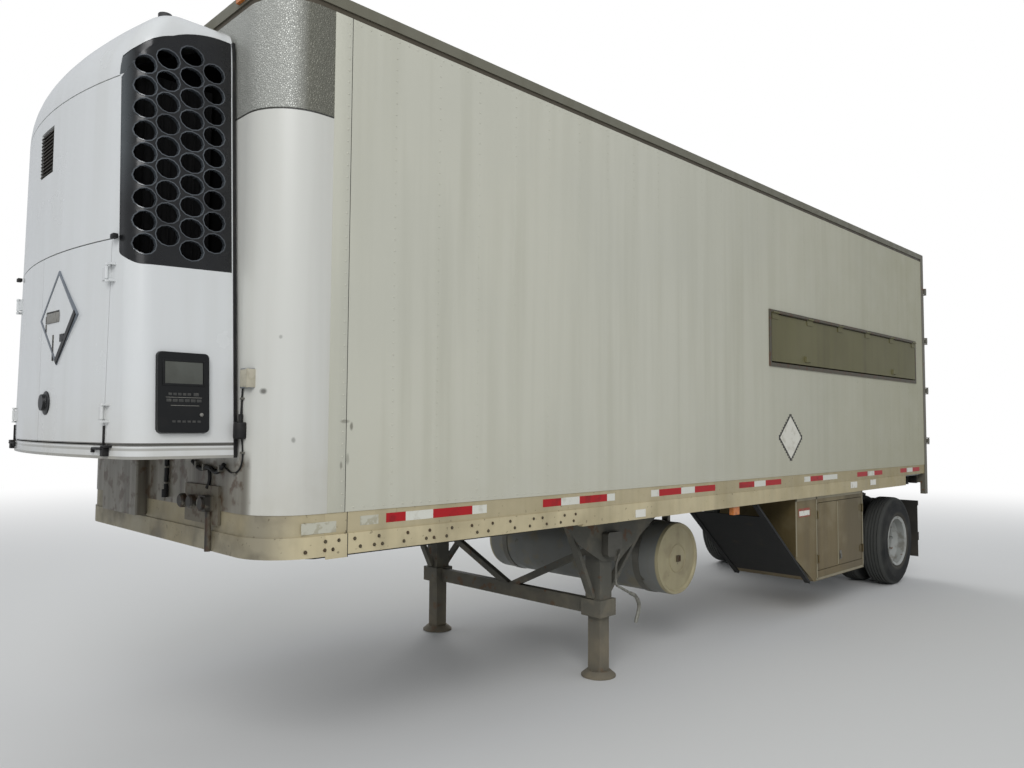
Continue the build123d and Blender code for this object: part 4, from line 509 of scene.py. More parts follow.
def start_group(name, **numbers):
    """A node group with number inputs: the group, its inputs, the Mask that it gives, its coordinates."""
    group = bpy.data.node_groups.new(name, "ShaderNodeTree")
    for title, value in numbers.items():
        socket = group.interface.new_socket(title, in_out="INPUT", socket_type="NodeSocketFloat")
        socket.default_value = value
    group.interface.new_socket("Mask", in_out="OUTPUT", socket_type="NodeSocketFloat")
    given = group.nodes.new("NodeGroupInput").outputs
    return group, given, group.nodes.new("NodeGroupOutput").inputs["Mask"], own_place(group)


def noise(tree, place, stretch, scale, detail=3.0):
    """Noise over stretched coordinates; returns its value."""
    stretched = add_node(tree, "Mapping", {"Scale": stretch, "Vector": place}).outputs[0]
    return add_node(tree, "TexNoise", {"Vector": stretched, "Scale": scale, "Detail": detail}).outputs["Fac"]


# %% Group: rain streaks that run down a wall
streaks, given, mask, place = start_group("rain_streaks", Strength=0.5)
fine = remap(streaks, noise(streaks, place, (1, 1, 0.05), 9.0, 4.0), 0.42, 0.68)
broad = remap(streaks, noise(streaks, place, (1, 1, 0.12), 1.6, 2.0), 0.35, 0.65, 0.25, 1.0)
both = maths(streaks, "MULTIPLY", fine, broad)
feed(streaks, mask, maths(streaks, "MULTIPLY", both, given["Strength"]))

# %% Group: road dust, thick near the ground and thinner higher up
dust, given, mask, place = start_group("road_dust", Low=0.3, High=1.5, Strength=0.6)
rise = remap(dust, axis_of(dust, place, "Z"), given["Low"], given["High"], 1.0, 0.0)
cloud = remap(dust, noise(dust, place, (1, 1, 1), 5.0, 6.0), 0.3, 0.65, 0.35, 1.0)
both = maths(dust, "MULTIPLY", rise, cloud)
feed(dust, mask, maths(dust, "MULTIPLY", both, given["Strength"]))

# %% Group: patches, such as rust, stains or worn paint
patches, given, mask, place = start_group("patches", Scale=6.0, Threshold=0.6, Softness=0.08)
cloud = noise(patches, place, (1, 1, 1), given["Scale"], 6.0)
upper = maths(patches, "ADD", given["Threshold"], given["Softness"])
feed(patches, mask, remap(patches, cloud, given["Threshold"], upper))

# %% Group: the lines of brushed or rolled metal
grain, given, mask, place = start_group("metal_grain", Across=400.0, Along=6.0)
across, along = given["Across"], given["Along"]
stretch = add_node(grain, "CombineXYZ", {0: across, 1: across, 2: along}).outputs[0]
product = vector_maths(grain, "MULTIPLY", place, stretch).outputs[0]
ridges = add_node(grain, "TexNoise", {"Vector": product, "Scale": 1.0, "Detail": 2.0})
feed(grain, mask, ridges.outputs["Fac"])

# %% Group: the pressed pebble pattern of stucco embossed sheet
stucco, given, mask, place = start_group("stucco_emboss", Scale=55.0)
warp = add_node(stucco, "TexNoise", {"Vector": place, "Scale": 30.0}).outputs["Color"]
shifted = add_node(stucco, "VectorMath", {0: warp, 1: (0.02, 0.02, 0.02), 2: place}, operation="MULTIPLY_ADD")
cells = add_node(stucco, "TexVoronoi", {"Vector": shifted.outputs[0], "Scale": given["Scale"]},
                 feature="DISTANCE_TO_EDGE")
feed(stucco, mask, remap(stucco, cells.outputs["Distance"], 0.02, 0.25))
print("node groups:", [group.name for group in bpy.data.node_groups])


# %% A material and what is laid on it
def finish(name, colour, roughness, metallic=0.0, specular=0.5, coat=0.0):
    """A new material with one shader; further lines lay colours, roughness and bumps over it."""
    made = bpy.data.materials.new(name)
    made.use_nodes = True
    sockets = made.node_tree.nodes["Principled BSDF"].inputs
    sockets["Base Color"].default_value = (*tone(*colour), 1)
    sockets["Roughness"].default_value = roughness
    sockets["Metallic"].default_value = metallic
    sockets["Specular IOR Level"].default_value = specular
    sockets["Coat Weight"].default_value = coat
    MATERIALS[name] = made
    return made


def shader_socket(made, title):
    return made.node_tree.nodes["Principled BSDF"].inputs[title]


def mask_of(made, group, **values):
    """Places a group in a material, sets its numbers and returns its mask."""
    node = made.node_tree.nodes.new("ShaderNodeGroup")
    node.node_tree = group
    for title, value in values.items():
        node.inputs[title].default_value = value
    return node.outputs["Mask"]


def lay(made, mask, colour, amount=1.0):
    """Lays a colour over what the material has so far, where the mask is."""
    tree = made.node_tree
    base = shader_socket(made, "Base Color")
    so_far = base.links[0].from_socket if base.is_linked else base.default_value
    share = maths(tree, "MULTIPLY", mask, amount)
    mix = add_node(tree, "Mix", {"A": so_far, "B": (*tone(*colour), 1), "Factor": share}, data_type="RGBA")
    feed(tree, base, mix.outputs["Result"])


def rough(made, mask, low, high):
    """Lets a mask change the roughness between two values."""
    feed(made.node_tree, shader_socket(made, "Roughness"), remap(made.node_tree, mask, 0.0, 1.0, low, high))


def bump(made, mask, distance, strength):
    """Raises the surface by a mask."""
    node = add_node(made.node_tree, "Bump", {"Distance": distance, "Strength": strength, "Height": mask})
    feed(made.node_tree, shader_socket(made, "Normal"), node.outputs["Normal"])


# %% Layers that most finishes have
def blotches(made, scale, threshold, softness):
    return mask_of(made, patches, Scale=scale, Threshold=threshold, Softness=softness)


def blotched(made, scale, threshold, softness, colour, amount):
    """Patches of a colour."""
    lay(made, blotches(made, scale, threshold, softness), colour, amount)


def streaked(made, strength, colour, amount):
    """Rain streaks of a colour."""
    lay(made, mask_of(made, streaks, Strength=strength), colour, amount)


def dusted(made, low, high, strength, colour, amount):
    """Dust of a colour, thick at one height and gone at another."""
    lay(made, mask_of(made, dust, Low=low, High=high, Strength=strength), colour, amount)


def uneven(made, scale, low, high, threshold=0.3, softness=0.4):
    """Roughness that differs from patch to patch."""
    rough(made, blotches(made, scale, threshold, softness), low, high)


def pitted(made, scale, distance, strength, threshold=0.3, softness=0.4):
    """Small waves or pits in the surface."""
    bump(made, blotches(made, scale, threshold, softness), distance, strength)


# %% Masks by place
def axis_in(made, axis):
    return axis_of(made.node_tree, own_place(made.node_tree), axis)


def ramp(made, axis, low, high, to_low=0.0, to_high=1.0):
    """A mask that rises from one place to another along an axis."""
    return remap(made.node_tree, axis_in(made, axis), low, high, to_low, to_high)


def band(made, height, half):
    """A mask on a level line of some half width."""
    line = maths(made.node_tree, "COMPARE", axis_in(made, "Z"), height)
    line.node.inputs[2].default_value = half
    return line


def where_both(made, first, second):
    """A mask that is only where two masks are, or as strong as a share of one."""
    return maths(made.node_tree, "MULTIPLY", first, second)


def spot(made, centre, reach):
    """A mask round a place: 1 inside an ellipsoid with these half sizes, ragged at its edge."""
    tree = made.node_tree
    place = own_place(tree)
    away = vector_maths(tree, "SUBTRACT", place, centre).outputs[0]
    scaled = vector_maths(tree, "DIVIDE", away, reach).outputs[0]
    length = vector_maths(tree, "LENGTH", scaled).outputs["Value"]
    rag = maths(tree, "MULTIPLY", noise(tree, place, (1, 1, 1), 45.0), 0.35)
    return remap(tree, maths(tree, "ADD", length, rag), 0.75, 1.40, 1.0, 0.0)


# %% [markdown]
# ## White panels
# The walls are thin pre-painted sheets, gone warm grey with age. Rain washes road film down them in
# pale and dark bands. A second fainter layer of blotches keeps large flat faces from looking like plastic.

# %% Side sheets
REARWARDS = (at(3.0), at(9.3))
# Dark marks: station, height, half length, half height, how dark
SMEARS = ((0.170, 2.123, 0.055, 0.006, 0.8), (0.285, 2.121, 0.050, 0.004, 0.5),
          (0.480, 1.860, 0.010, 0.022, 0.7), (0.440, 1.885, 0.030, 0.010, 0.5),
          (0.460, 1.690, 0.010, 0.030, 0.4), (0.420, 1.660, 0.008, 0.020, 0.5))

side_paint = finish("side_paint", (193, 192, 178), 0.42, specular=0.35)
streaked(side_paint, 0.55, (166, 165, 148), 0.7)
blotched(side_paint, 0.7, 0.42, 0.3, (184, 184, 172), 0.6)
dusted(side_paint, 1.42, 1.95, 0.4, (176, 170, 148), 0.5)
lay(side_paint, ramp(side_paint, "Y", *REARWARDS), (143, 139, 104), 0.63)
for station, height, long, tall, dark in SMEARS:
    smear = spot(side_paint, (PANEL_FACE, at(station), height), (0.05, long, tall))
    lay(side_paint, smear, (92, 88, 76), dark)
uneven(side_paint, 3.0, 0.36, 0.55)
pitted(side_paint, 1.3, 0.006, 0.35, 0.1, 0.8)

# %% Front sheet: painted, with grime and painted shade below the unit
STUCCO_LOW = 3.457
CORNER_FACE = 1.24
# Chips in the paint: station, height, size, how dark
CHIPS = ((0.045, 2.03, 0.016, 0.8), (0.16, 1.79, 0.014, 0.5), (0.10, 2.30, 0.010, 0.4))

front_paint = finish("front_paint", (200, 200, 194), 0.35, specular=0.4)
streaked(front_paint, 0.6, (170, 168, 156), 0.6)
dusted(front_paint, 1.42, 1.9, 0.5, (160, 152, 130), 0.6)
below_unit = ramp(front_paint, "Z", 1.66, 1.74, 1.0, 0.0)
grime_and_shade = where_both(front_paint, below_unit, ramp(front_paint, "Y", at(0.004), at(0.02), 1.0, 0.0))
# Below the unit the whole wall is darkened: painted shade under the unit, with grime. Streaks and stains
# follow on it.
lay(front_paint, grime_and_shade, (92, 86, 72), 0.75)
runs = mask_of(front_paint, streaks, Strength=1.0)
lay(front_paint, where_both(front_paint, grime_and_shade, runs), (54, 44, 30), 0.9)
lay(front_paint, where_both(front_paint, grime_and_shade, blotches(front_paint, 14.0, 0.52, 0.1)), (70, 50, 30), 0.8)

# %% Front sheet: bare stucco embossed metal above a seam
above_seam = ramp(front_paint, "Z", STUCCO_LOW, STUCCO_LOW + 0.002)
shaded_side_wrap = ramp(front_paint, "Y", at(0.12), at(0.20))
pebbles = mask_of(front_paint, stucco, Scale=95.0)
between = remap(front_paint.node_tree, pebbles, 1.0, 0.0)
lay(front_paint, above_seam, (184, 185, 179))
# Where the stucco wraps onto the side it is darker: painted shade on that face.
lay(front_paint, where_both(front_paint, above_seam, shaded_side_wrap), (109, 108, 97))
lay(front_paint, band(front_paint, STUCCO_LOW, 0.005), (58, 58, 54))
lay(front_paint, where_both(front_paint, above_seam, between), (112, 112, 104), 0.45)
for station, height, size, dark in CHIPS:
    chip = spot(front_paint, (CORNER_FACE, at(station), height), (0.2, size * 0.7, size))
    lay(front_paint, chip, (70, 68, 60), dark)
feed(front_paint.node_tree, shader_socket(front_paint, "Metallic"), where_both(front_paint, above_seam, 0.35))
rough(front_paint, above_seam, 0.36, 0.42)
bump(front_paint, where_both(front_paint, above_seam, pebbles), 0.0025, 0.8)

# %% Roof, doors and rear frame
roof_sheet = finish("roof_sheet", (206, 206, 200), 0.5)
blotched(roof_sheet, 1.5, 0.45, 0.2, (176, 174, 164), 0.6)
uneven(roof_sheet, 4.0, 0.42, 0.65)
door_paint = finish("door_paint", (205, 204, 196), 0.4)
streaked(door_paint, 0.6, (174, 170, 156), 0.6)
dusted(door_paint, 1.4, 2.6, 0.6, (164, 156, 136), 0.6)
frame_paint = finish("frame_paint", (104, 100, 88), 0.55)
streaked(frame_paint, 0.7, (78, 74, 64), 0.7)
blotched(frame_paint, 14.0, 0.62, 0.05, (104, 66, 40), 0.7)
pitted(frame_paint, 60.0, 0.0006, 0.5)

# %% [markdown]
# ## Weathered aluminium
# The rails are extruded aluminium. Years of road salt turn the metal beige and dull, so metallic stays low
# and the colour comes in broad patches. The bare sheet of box, tank and floor keeps its rolled grain.

# %% Rails
rail_metal = finish("rail_metal", (188, 176, 144), 0.5, metallic=0.3)
lay(rail_metal, ramp(rail_metal, "Z", LEDGE - 0.001, LEDGE + 0.001, 1.0, 0.0), (212, 199, 163), 0.75)
lay(rail_metal, ramp(rail_metal, "Y", *REARWARDS), (140, 126, 84), 0.7)
# The rail's front face is darkened: painted shade, with dirt blotches laid on it.
front_face_shade_and_grime = ramp(rail_metal, "Y", at(0.05), at(0.22), 1.0, 0.0)
lay(rail_metal, front_face_shade_and_grime, (122, 118, 106), 0.75)
lay(rail_metal, where_both(rail_metal, front_face_shade_and_grime, blotches(rail_metal, 5.0, 0.45, 0.2)), (84, 78, 66), 0.7)
blotched(rail_metal, 2.2, 0.45, 0.2, (166, 154, 122), 0.6)
streaked(rail_metal, 0.6, (132, 124, 100), 0.5)
blotched(rail_metal, 34.0, 0.66, 0.04, (96, 86, 66), 0.6)
uneven(rail_metal, 9.0, 0.42, 0.66)
top_metal = finish("top_metal", (114, 112, 98), 0.5, metallic=0.3)
lay(top_metal, ramp(top_metal, "Z", PANEL_HIGH + 0.029, PANEL_HIGH + 0.031, 1.0, 0.0), (70, 62, 50), 0.9)
streaked(top_metal, 0.6, (92, 86, 70), 0.6)
uneven(top_metal, 9.0, 0.42, 0.66)

# %% Hatch and belly box
hatch_metal = finish("hatch_metal", (100, 96, 60), 0.5, metallic=0.25)
streaked(hatch_metal, 0.8, (80, 74, 50), 0.7)
blotched(hatch_metal, 1.7, 0.45, 0.25, (108, 104, 72), 0.6)
REAR_DOOR_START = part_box("belly_rear_door")[0][1]
box_metal = finish("box_metal", (122, 107, 72), 0.42, metallic=0.5)
# Painted shade over the belly box's rear door.
lay(box_metal, ramp(box_metal, "Y", REAR_DOOR_START - 0.05, REAR_DOOR_START + 0.25), (84, 76, 54), 0.6)
streaked(box_metal, 0.9, (88, 76, 52), 0.75)
blotched(box_metal, 3.0, 0.5, 0.2, (150, 140, 112), 0.45)
dusted(box_metal, 0.4, 1.1, 0.6, (118, 104, 78), 0.7)
bump(box_metal, mask_of(box_metal, grain, Across=300.0, Along=5.0), 0.0004, 0.5)
rough(box_metal, mask_of(box_metal, grain, Across=300.0, Along=5.0), 0.34, 0.58)

# %% Tank and load floor
SHELL_END = 0.97
tank_metal = finish("tank_metal", (166, 157, 126), 0.5, metallic=0.3)
tree = tank_metal.node_tree
from_middle = maths(tree, "ABSOLUTE", axis_in(tank_metal, "X"), 0)
lay(tank_metal, remap(tree, from_middle, SHELL_END, SHELL_END + 0.005, 1.0, 0.0), (122, 126, 128), 0.85)
blotched(tank_metal, 5.0, 0.55, 0.12, (142, 132, 106), 0.6)
blotched(tank_metal, 9.0, 0.68, 0.05, (84, 76, 62), 0.7)
streaked(tank_metal, 0.5, (130, 120, 98), 0.6)
uneven(tank_metal, 7.0, 0.42, 0.7)
deck_metal = finish("deck_metal", (150, 151, 148), 0.4, metallic=0.8)
blotched(deck_metal, 3.0, 0.5, 0.2, (120, 116, 106), 0.6)
rough(deck_metal, mask_of(deck_metal, grain, Across=8.0, Along=300.0), 0.3, 0.55)

# %% [markdown]
# ## Steel below the floor
# The running gear was black or grey paint. Road dust lies over it, thickest low down, and rust breaks
# through in patches. The legs are paler than the frame because dry dust sticks to their grease.

# %% Chassis and legs
chassis_paint = finish("chassis_paint", (34, 33, 31), 0.7, specular=0.3)
blotched(chassis_paint, 8.0, 0.52, 0.15, (58, 46, 36), 0.6)
dusted(chassis_paint, 0.3, 1.4, 0.6, (74, 69, 60), 0.6)
pitted(chassis_paint, 50.0, 0.0008, 0.6)
leg_paint = finish("leg_paint", (88, 87, 80), 0.72, specular=0.3)
blotched(leg_paint, 7.0, 0.5, 0.15, (110, 105, 92), 0.7)
blotched(leg_paint, 11.0, 0.6, 0.06, (96, 68, 48), 0.75)
dusted(leg_paint, 0.05, 0.7, 0.9, (140, 128, 106), 0.7)
pitted(leg_paint, 60.0, 0.0008, 0.6)
zinc = finish("zinc", (112, 110, 102), 0.5, metallic=0.5)
blotched(zinc, 20.0, 0.5, 0.1, (112, 108, 98), 0.6)
uneven(zinc, 30.0, 0.35, 0.6)

# %% Brake and power couplings: a worn plate behind, dark greasy iron in front
gladhand_iron = finish("gladhand_iron", (104, 98, 84), 0.55, metallic=0.3)
in_front = ramp(gladhand_iron, "Y", at(-0.02), at(-0.035))
lay(gladhand_iron, in_front, (44, 42, 40), 0.9)
blotched(gladhand_iron, 22.0, 0.52, 0.12, (70, 50, 34), 0.7)
worn_spots = where_both(gladhand_iron, in_front, blotches(gladhand_iron, 14.0, 0.6, 0.1))
lay(gladhand_iron, worn_spots, (140, 136, 124), 0.7)

# %% The guard ahead of the belly box, its near-black partly painted shade, and the crank's bare grey steel under a dark gearbox
# The guard's dark paint is made near black as painted shade.
guard_paint_and_shade = finish("guard_paint_and_shade", (27, 28, 29), 0.62, specular=0.3)
blotched(guard_paint_and_shade, 9.0, 0.6, 0.12, (48, 40, 33), 0.6)
dusted(guard_paint_and_shade, 0.3, 1.3, 0.5, (58, 56, 50), 0.5)
pitted(guard_paint_and_shade, 40.0, 0.002, 0.3, softness=0.5)
worn_grey = finish("worn_grey", (126, 125, 116), 0.5, metallic=0.2)
blotched(worn_grey, 25.0, 0.5, 0.12, (84, 80, 72), 0.7)
lay(worn_grey, ramp(worn_grey, "Z", 0.70, 0.78), (78, 76, 69), 0.9)

# %% [markdown]
# ## Rubber
# Tyre rubber is never black outdoors: it holds grey-brown dust, most on the tread and least on the
# flexing wall. The dust mask can't go by height here because the wheel turns, so it goes by radius.

# %% Tyres and flaps
tyre_rubber = finish("tyre_rubber", (36, 37, 37), 0.85, specular=0.25)
tree = tyre_rubber.node_tree
beside = maths(tree, "SUBTRACT", axis_in(tyre_rubber, "Y"), at(AXLE_STATION))
above_axle = maths(tree, "SUBTRACT", axis_in(tyre_rubber, "Z"), TYRE_RADIUS)
squares = [maths(tree, "MULTIPLY", side, side) for side in (beside, above_axle)]
radius = maths(tree, "SQRT", maths(tree, "ADD", *squares), 0)
blotched(tyre_rubber, 6.0, 0.4, 0.3, (60, 60, 57), 0.7)
lay(tyre_rubber, remap(tree, radius, TYRE_RADIUS - 0.04, TYRE_RADIUS - 0.01), (82, 83, 80), 0.7)
lay(tyre_rubber, remap(tree, radius, TYRE_RADIUS * 0.62, TYRE_RADIUS * 0.68, 1.0, 0.0), (88, 84, 76), 0.5)
pitted(tyre_rubber, 90.0, 0.0005, 0.5)
flap_rubber = finish("flap_rubber", (40, 40, 39), 0.8, specular=0.25)
dusted(flap_rubber, 0.2, 1.2, 0.8, (92, 86, 76), 0.7)
pitted(flap_rubber, 70.0, 0.0006, 0.5)

# %% [markdown]
# ## The refrigeration unit's plastics
# The covers are moulded and glossy white, the grilles black and satin. Gloss comes from a low
# roughness with slight waves, as moulded panels have, and a thin film of dust breaks it near the bottom.

# %% Unit covers, with a seam line along their lower edge and a painted highlight and painted shade that round the hem
# The dark line at 1.768 is the seam. The pale line below it is a painted highlight, and the darker line at
# 1.706 is painted shade.
# Columns: height, half width, colour, amount
HEM_SEAM_AND_SHADING = ((1.768, 0.008, (40, 40, 38), 0.9), (1.745, 0.006, (120, 120, 114), 0.6),
             (1.706, 0.008, (96, 94, 84), 0.7))

unit_gloss = finish("unit_gloss", (208, 210, 210), 0.22, coat=0.3)
streaked(unit_gloss, 0.45, (182, 182, 176), 0.5)
for height, half, shade, amount in HEM_SEAM_AND_SHADING:
    lay(unit_gloss, band(unit_gloss, height, half), shade, amount)
dusted(unit_gloss, 1.68, 2.1, 0.5, (182, 174, 154), 0.6)
uneven(unit_gloss, 2.5, 0.16, 0.3, 0.35, 0.35)
pitted(unit_gloss, 1.2, 0.004, 0.25, 0.1, 0.8)

# %% Grilles, with a painted reflection of the sky on the front of the arch, and the fins behind them
grille_black = finish("grille_black", (15, 16, 18), 0.26, specular=0.45)
# Pale blue-grey on the front of the arch: a painted reflection of the sky.
arch_front = ramp(grille_black, "Y", at(-0.56), at(-0.50), 1.0, 0.0)
sky_reflection = where_both(grille_black, arch_front, ramp(grille_black, "Z", 2.9, 3.2))
lay(grille_black, sky_reflection, (104, 112, 116), 0.55)
blotched(grille_black, 8.0, 0.5, 0.2, (34, 34, 34), 0.4)
uneven(grille_black, 20.0, 0.2, 0.42, 0.35, 0.3)
fin_metal = finish("fin_metal", (26, 26, 27), 0.6, metallic=0.4)
tree = fin_metal.node_tree
wave = add_node(tree, "TexWave", {"Scale": 90.0, "Vector": own_place(tree)}, bands_direction="Z")
fins = wave.outputs["Fac"]
lay(fin_metal, fins, (8, 8, 9), 0.8)
bump(fin_metal, fins, 0.003, 0.8)

# %% [markdown]
# ## Plain finishes
# Small parts have one colour with blotches of another, so they are lines of one table. Where a surface is
# only a few centimetres wide, a large scale makes the blotches small enough to show on it.

# %% Table of plain finishes
# Columns: name, colour, roughness, metallic, specular, coat; scale, threshold, softness, colour, amount
PLAIN_FINISHES = (
    ("hatch_rim", (84, 80, 68), 0.55, 0.3, 0.5, 0.0, 20.0, 0.52, 0.1, (92, 62, 42), 0.8),
    ("hub_iron", (78, 70, 62), 0.75, 0.2, 0.5, 0.0, 14.0, 0.48, 0.15, (98, 70, 50), 0.7),
    ("engine_iron", (58, 58, 58), 0.65, 0.2, 0.5, 0.0, 9.0, 0.5, 0.15, (40, 38, 36), 0.7),
    ("bolt_steel", (92, 84, 68), 0.6, 0.5, 0.5, 0.0, 40.0, 0.5, 0.1, (84, 58, 38), 0.6),
    ("rim_paint", (158, 160, 156), 0.45, 0.0, 0.5, 0.0, 9.0, 0.5, 0.12, (118, 114, 104), 0.7),
    ("dark_plastic", (11, 12, 13), 0.35, 0.0, 0.35, 0.0, 12.0, 0.5, 0.2, (24, 23, 22), 0.5),
    ("evaporator_plastic", (206, 206, 200), 0.55, 0.0, 0.5, 0.0, 5.0, 0.5, 0.2, (180, 178, 168), 0.5),
    # Near-black painted shade for the box behind the grilles.
    ("baffle_black", (9, 9, 10), 0.9, 0.0, 0.1, 0.0, 12.0, 0.5, 0.2, (18, 17, 16), 0.6),
    # Grille rims paler than the grille: a painted highlight on the black plastic.
    ("rim_black", (74, 79, 84), 0.2, 0.0, 0.7, 0.0, 6.0, 0.45, 0.2, (40, 42, 45), 0.7),
    ("vent_plastic", (52, 47, 40), 0.6, 0.0, 0.5, 0.0, 25.0, 0.5, 0.2, (78, 70, 58), 0.5),
    ("screen_grey", (78, 80, 74), 0.22, 0.0, 0.5, 0.0, 9.0, 0.4, 0.3, (62, 63, 57), 0.7),
    ("key_grey", (54, 54, 52), 0.5, 0.0, 0.5, 0.0, 60.0, 0.5, 0.2, (86, 84, 78), 0.6),
    ("pale_grey", (128, 126, 120), 0.5, 0.0, 0.5, 0.0, 60.0, 0.5, 0.2, (88, 86, 80), 0.6),
    ("lamp_cover", (176, 170, 152), 0.4, 0.0, 0.5, 0.0, 25.0, 0.5, 0.2, (140, 134, 116), 0.7),
    ("rubber_black", (20, 20, 20), 0.6, 0.0, 0.35, 0.0, 18.0, 0.5, 0.2, (48, 45, 40), 0.6),
    ("placard_white", (214, 212, 200), 0.5, 0.0, 0.5, 0.0, 14.0, 0.5, 0.15, (184, 180, 164), 0.6),
    ("placard_black", (34, 33, 31), 0.6, 0.0, 0.5, 0.0, 60.0, 0.52, 0.1, (120, 116, 104), 0.6),
    ("label_red", (150, 62, 46), 0.55, 0.0, 0.5, 0.0, 30.0, 0.5, 0.1, (128, 96, 74), 0.6),
    ("tag_white", (222, 220, 210), 0.5, 0.0, 0.5, 0.0, 18.0, 0.55, 0.1, (180, 174, 156), 0.6),
    ("old_tape", (186, 184, 168), 0.5, 0.0, 0.5, 0.0, 30.0, 0.5, 0.08, (158, 152, 130), 0.7),
    ("amber_lens", (196, 112, 38), 0.25, 0.0, 0.5, 0.4, 30.0, 0.5, 0.1, (150, 82, 30), 0.6),
    ("red_lens", (150, 18, 16), 0.22, 0.0, 0.5, 0.4, 30.0, 0.5, 0.1, (112, 14, 12), 0.6),
)
for name, colour, roughness, metallic, specular, coat, *layer in PLAIN_FINISHES:
    blotched(finish(name, colour, roughness, metallic, specular, coat), *layer)
blotched(MATERIALS["rim_paint"], 22.0, 0.66, 0.04, (112, 76, 52), 0.8)
streaked(finish("holder_metal", (128, 134, 142), 0.38, metallic=0.6), 0.8, (78, 78, 76), 0.7)
streaked(finish("trim_metal", (150, 142, 118), 0.45, metallic=0.4), 0.8, (112, 104, 84), 0.6)
print(len(MATERIALS), "finishes so far")

# %% Reflective tape: a fine square net of prisms under the colour
TAPE_COLOURS = {"tape_red": ((172, 14, 24), (122, 16, 20)), "tape_white": ((214, 214, 204), (176, 172, 156))}

for name, (shade, worn) in TAPE_COLOURS.items():
    tape_finish = finish(name, shade, 0.42, specular=0.3, coat=0.1)
    tree = tape_finish.node_tree
    prisms = add_node(tree, "TexVoronoi", {"Vector": own_place(tree), "Scale": 260.0, "Randomness": 0.0},
                      feature="DISTANCE_TO_EDGE")
    lay(tape_finish, remap(tree, prisms.outputs["Distance"], 0.03, 0.10, 1.0, 0.0), worn, 0.45)
    blotched(tape_finish, 9.0, 0.56, 0.1, worn, 0.6)

# %% [markdown]
# ## Dressing the CAD nodes
# Each CAD node keeps its shape and takes one of the finishes above through its material slots. The table
# says which finish belongs to which material slot of the record, with a few nodes that differ from theirs.

# %% Finish by slot
BY_SLOT = {
    "deck_aluminium": "deck_metal", "roof_sheet": "roof_sheet", "side_panel": "side_paint",
    "rail_aluminium": "rail_metal", "top_rail": "top_metal", "frame_steel": "frame_paint",
    "door_panel": "door_paint", "zinc_steel": "zinc", "hatch_metal": "hatch_metal",
    "chassis_steel": "chassis_paint", "leg_steel": "leg_paint", "tyre_rubber": "tyre_rubber",
    "rim_steel": "rim_paint", "hub_iron": "hub_iron", "flap_rubber": "flap_rubber",
    "box_aluminium": "box_metal", "tank_aluminium": "tank_metal", "unit_panel": "unit_gloss",
    "grille_plastic": "grille_black", "engine_iron": "engine_iron", "amber_lens": "amber_lens",
    "evaporator_plastic": "evaporator_plastic", "red_lens": "red_lens",
}
BY_NODE = {
    "front_wall": "front_paint", "front_cabinet": "front_paint", "hatch_frame": "hatch_rim",
    "control_panel": "dark_plastic", "crank": "worn_grey", "gladhand_plate": "gladhand_iron",
    "belly_guard": "guard_paint_and_shade",
}
for subpart in frame["record"]["subparts"]:
    name = subpart["node"]
    chosen = BY_NODE.get(name, BY_SLOT[subpart["material_slot"]])
    mesh = nodes[name].data
    mesh.materials.clear()
    mesh.materials.append(MATERIALS[chosen])

# %% [markdown]
# ## Rivets of the side sheets
# The side is a row of thin sheets riveted to posts inside, one post about every 0.3 m, and along the rails.
# A rivet is a low dome. One column of them is an array, and the column is copied to each post. Columns that
# would cross the hatch are made in two shorter arrays, one below it and one above.

# %% Columns of rivets at the posts
RIVET_PITCH, RIVET_RADIUS, RIVET_HEIGHT = 0.0635, 0.0055, 0.0028
POST_FIRST, POST_PITCH, POST_COUNT = 0.74, 0.3125, 27
HATCH_LOW, HATCH_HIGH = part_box("hatch_frame")
COLUMN_LOW, COLUMN_HIGH = PANEL_LOW + 0.07, PANEL_HIGH - 0.05
ROW_START, ROW_MARGIN = 0.5, 0.022
posts = [POST_FIRST + number * POST_PITCH for number in range(POST_COUNT)]
crossing = [post for post in posts if HATCH_LOW[1] - 0.03 < at(post) < HATCH_HIGH[1] + 0.03]
whole = [post for post in posts if post not in crossing]


def rivet_row(name, count, step, places):
    """A row of rivets, copied to places given as (across, station, height)."""
    head = dome(name, RIVET_RADIUS, RIVET_HEIGHT, "x", 8)
    array(head, count, step)
    return spread(head, [(across, at(station), height) for across, station, height in places])


def rivet_column(name, low, high, posts):
    """A column of rivets on the roadside sheets between two heights, copied to several posts."""
    count = int((high - low) / RIVET_PITCH) + 1
    return rivet_row(name, count, (0, 0, RIVET_PITCH), [(PANEL_FACE, post, low) for post in posts])


rows = [
    rivet_column("rivets_full", COLUMN_LOW, COLUMN_HIGH, whole),
    rivet_column("rivets_under", COLUMN_LOW, HATCH_LOW[2] - 0.03, crossing),
    rivet_column("rivets_over", HATCH_HIGH[2] + 0.05, COLUMN_HIGH, crossing),
    rivet_row("rivet_foot", int((BODY_END - 0.6) / RIVET_PITCH), (0, RIVET_PITCH, 0),
              [(PANEL_FACE, ROW_START, PANEL_LOW + ROW_MARGIN),
               (PANEL_FACE, ROW_START, PANEL_HIGH - ROW_MARGIN)]),
]
both_sides(join(rows), "side_paint")

# %% [markdown]
# ## Seam strips behind the corners
# A flat strip covers the joint between the bent corner sheet and the first side sheet. On the real trailer
# it is rolled flat and riveted along its rear edge. Here it is a thin cuboid with its edges bevelled.

# %% Seam strips
STRIP_START, STRIP_END, STRIP_THICK = PANEL_START - 0.012, 0.446, 0.002
STRIP_FACE = PANEL_FACE + STRIP_THICK

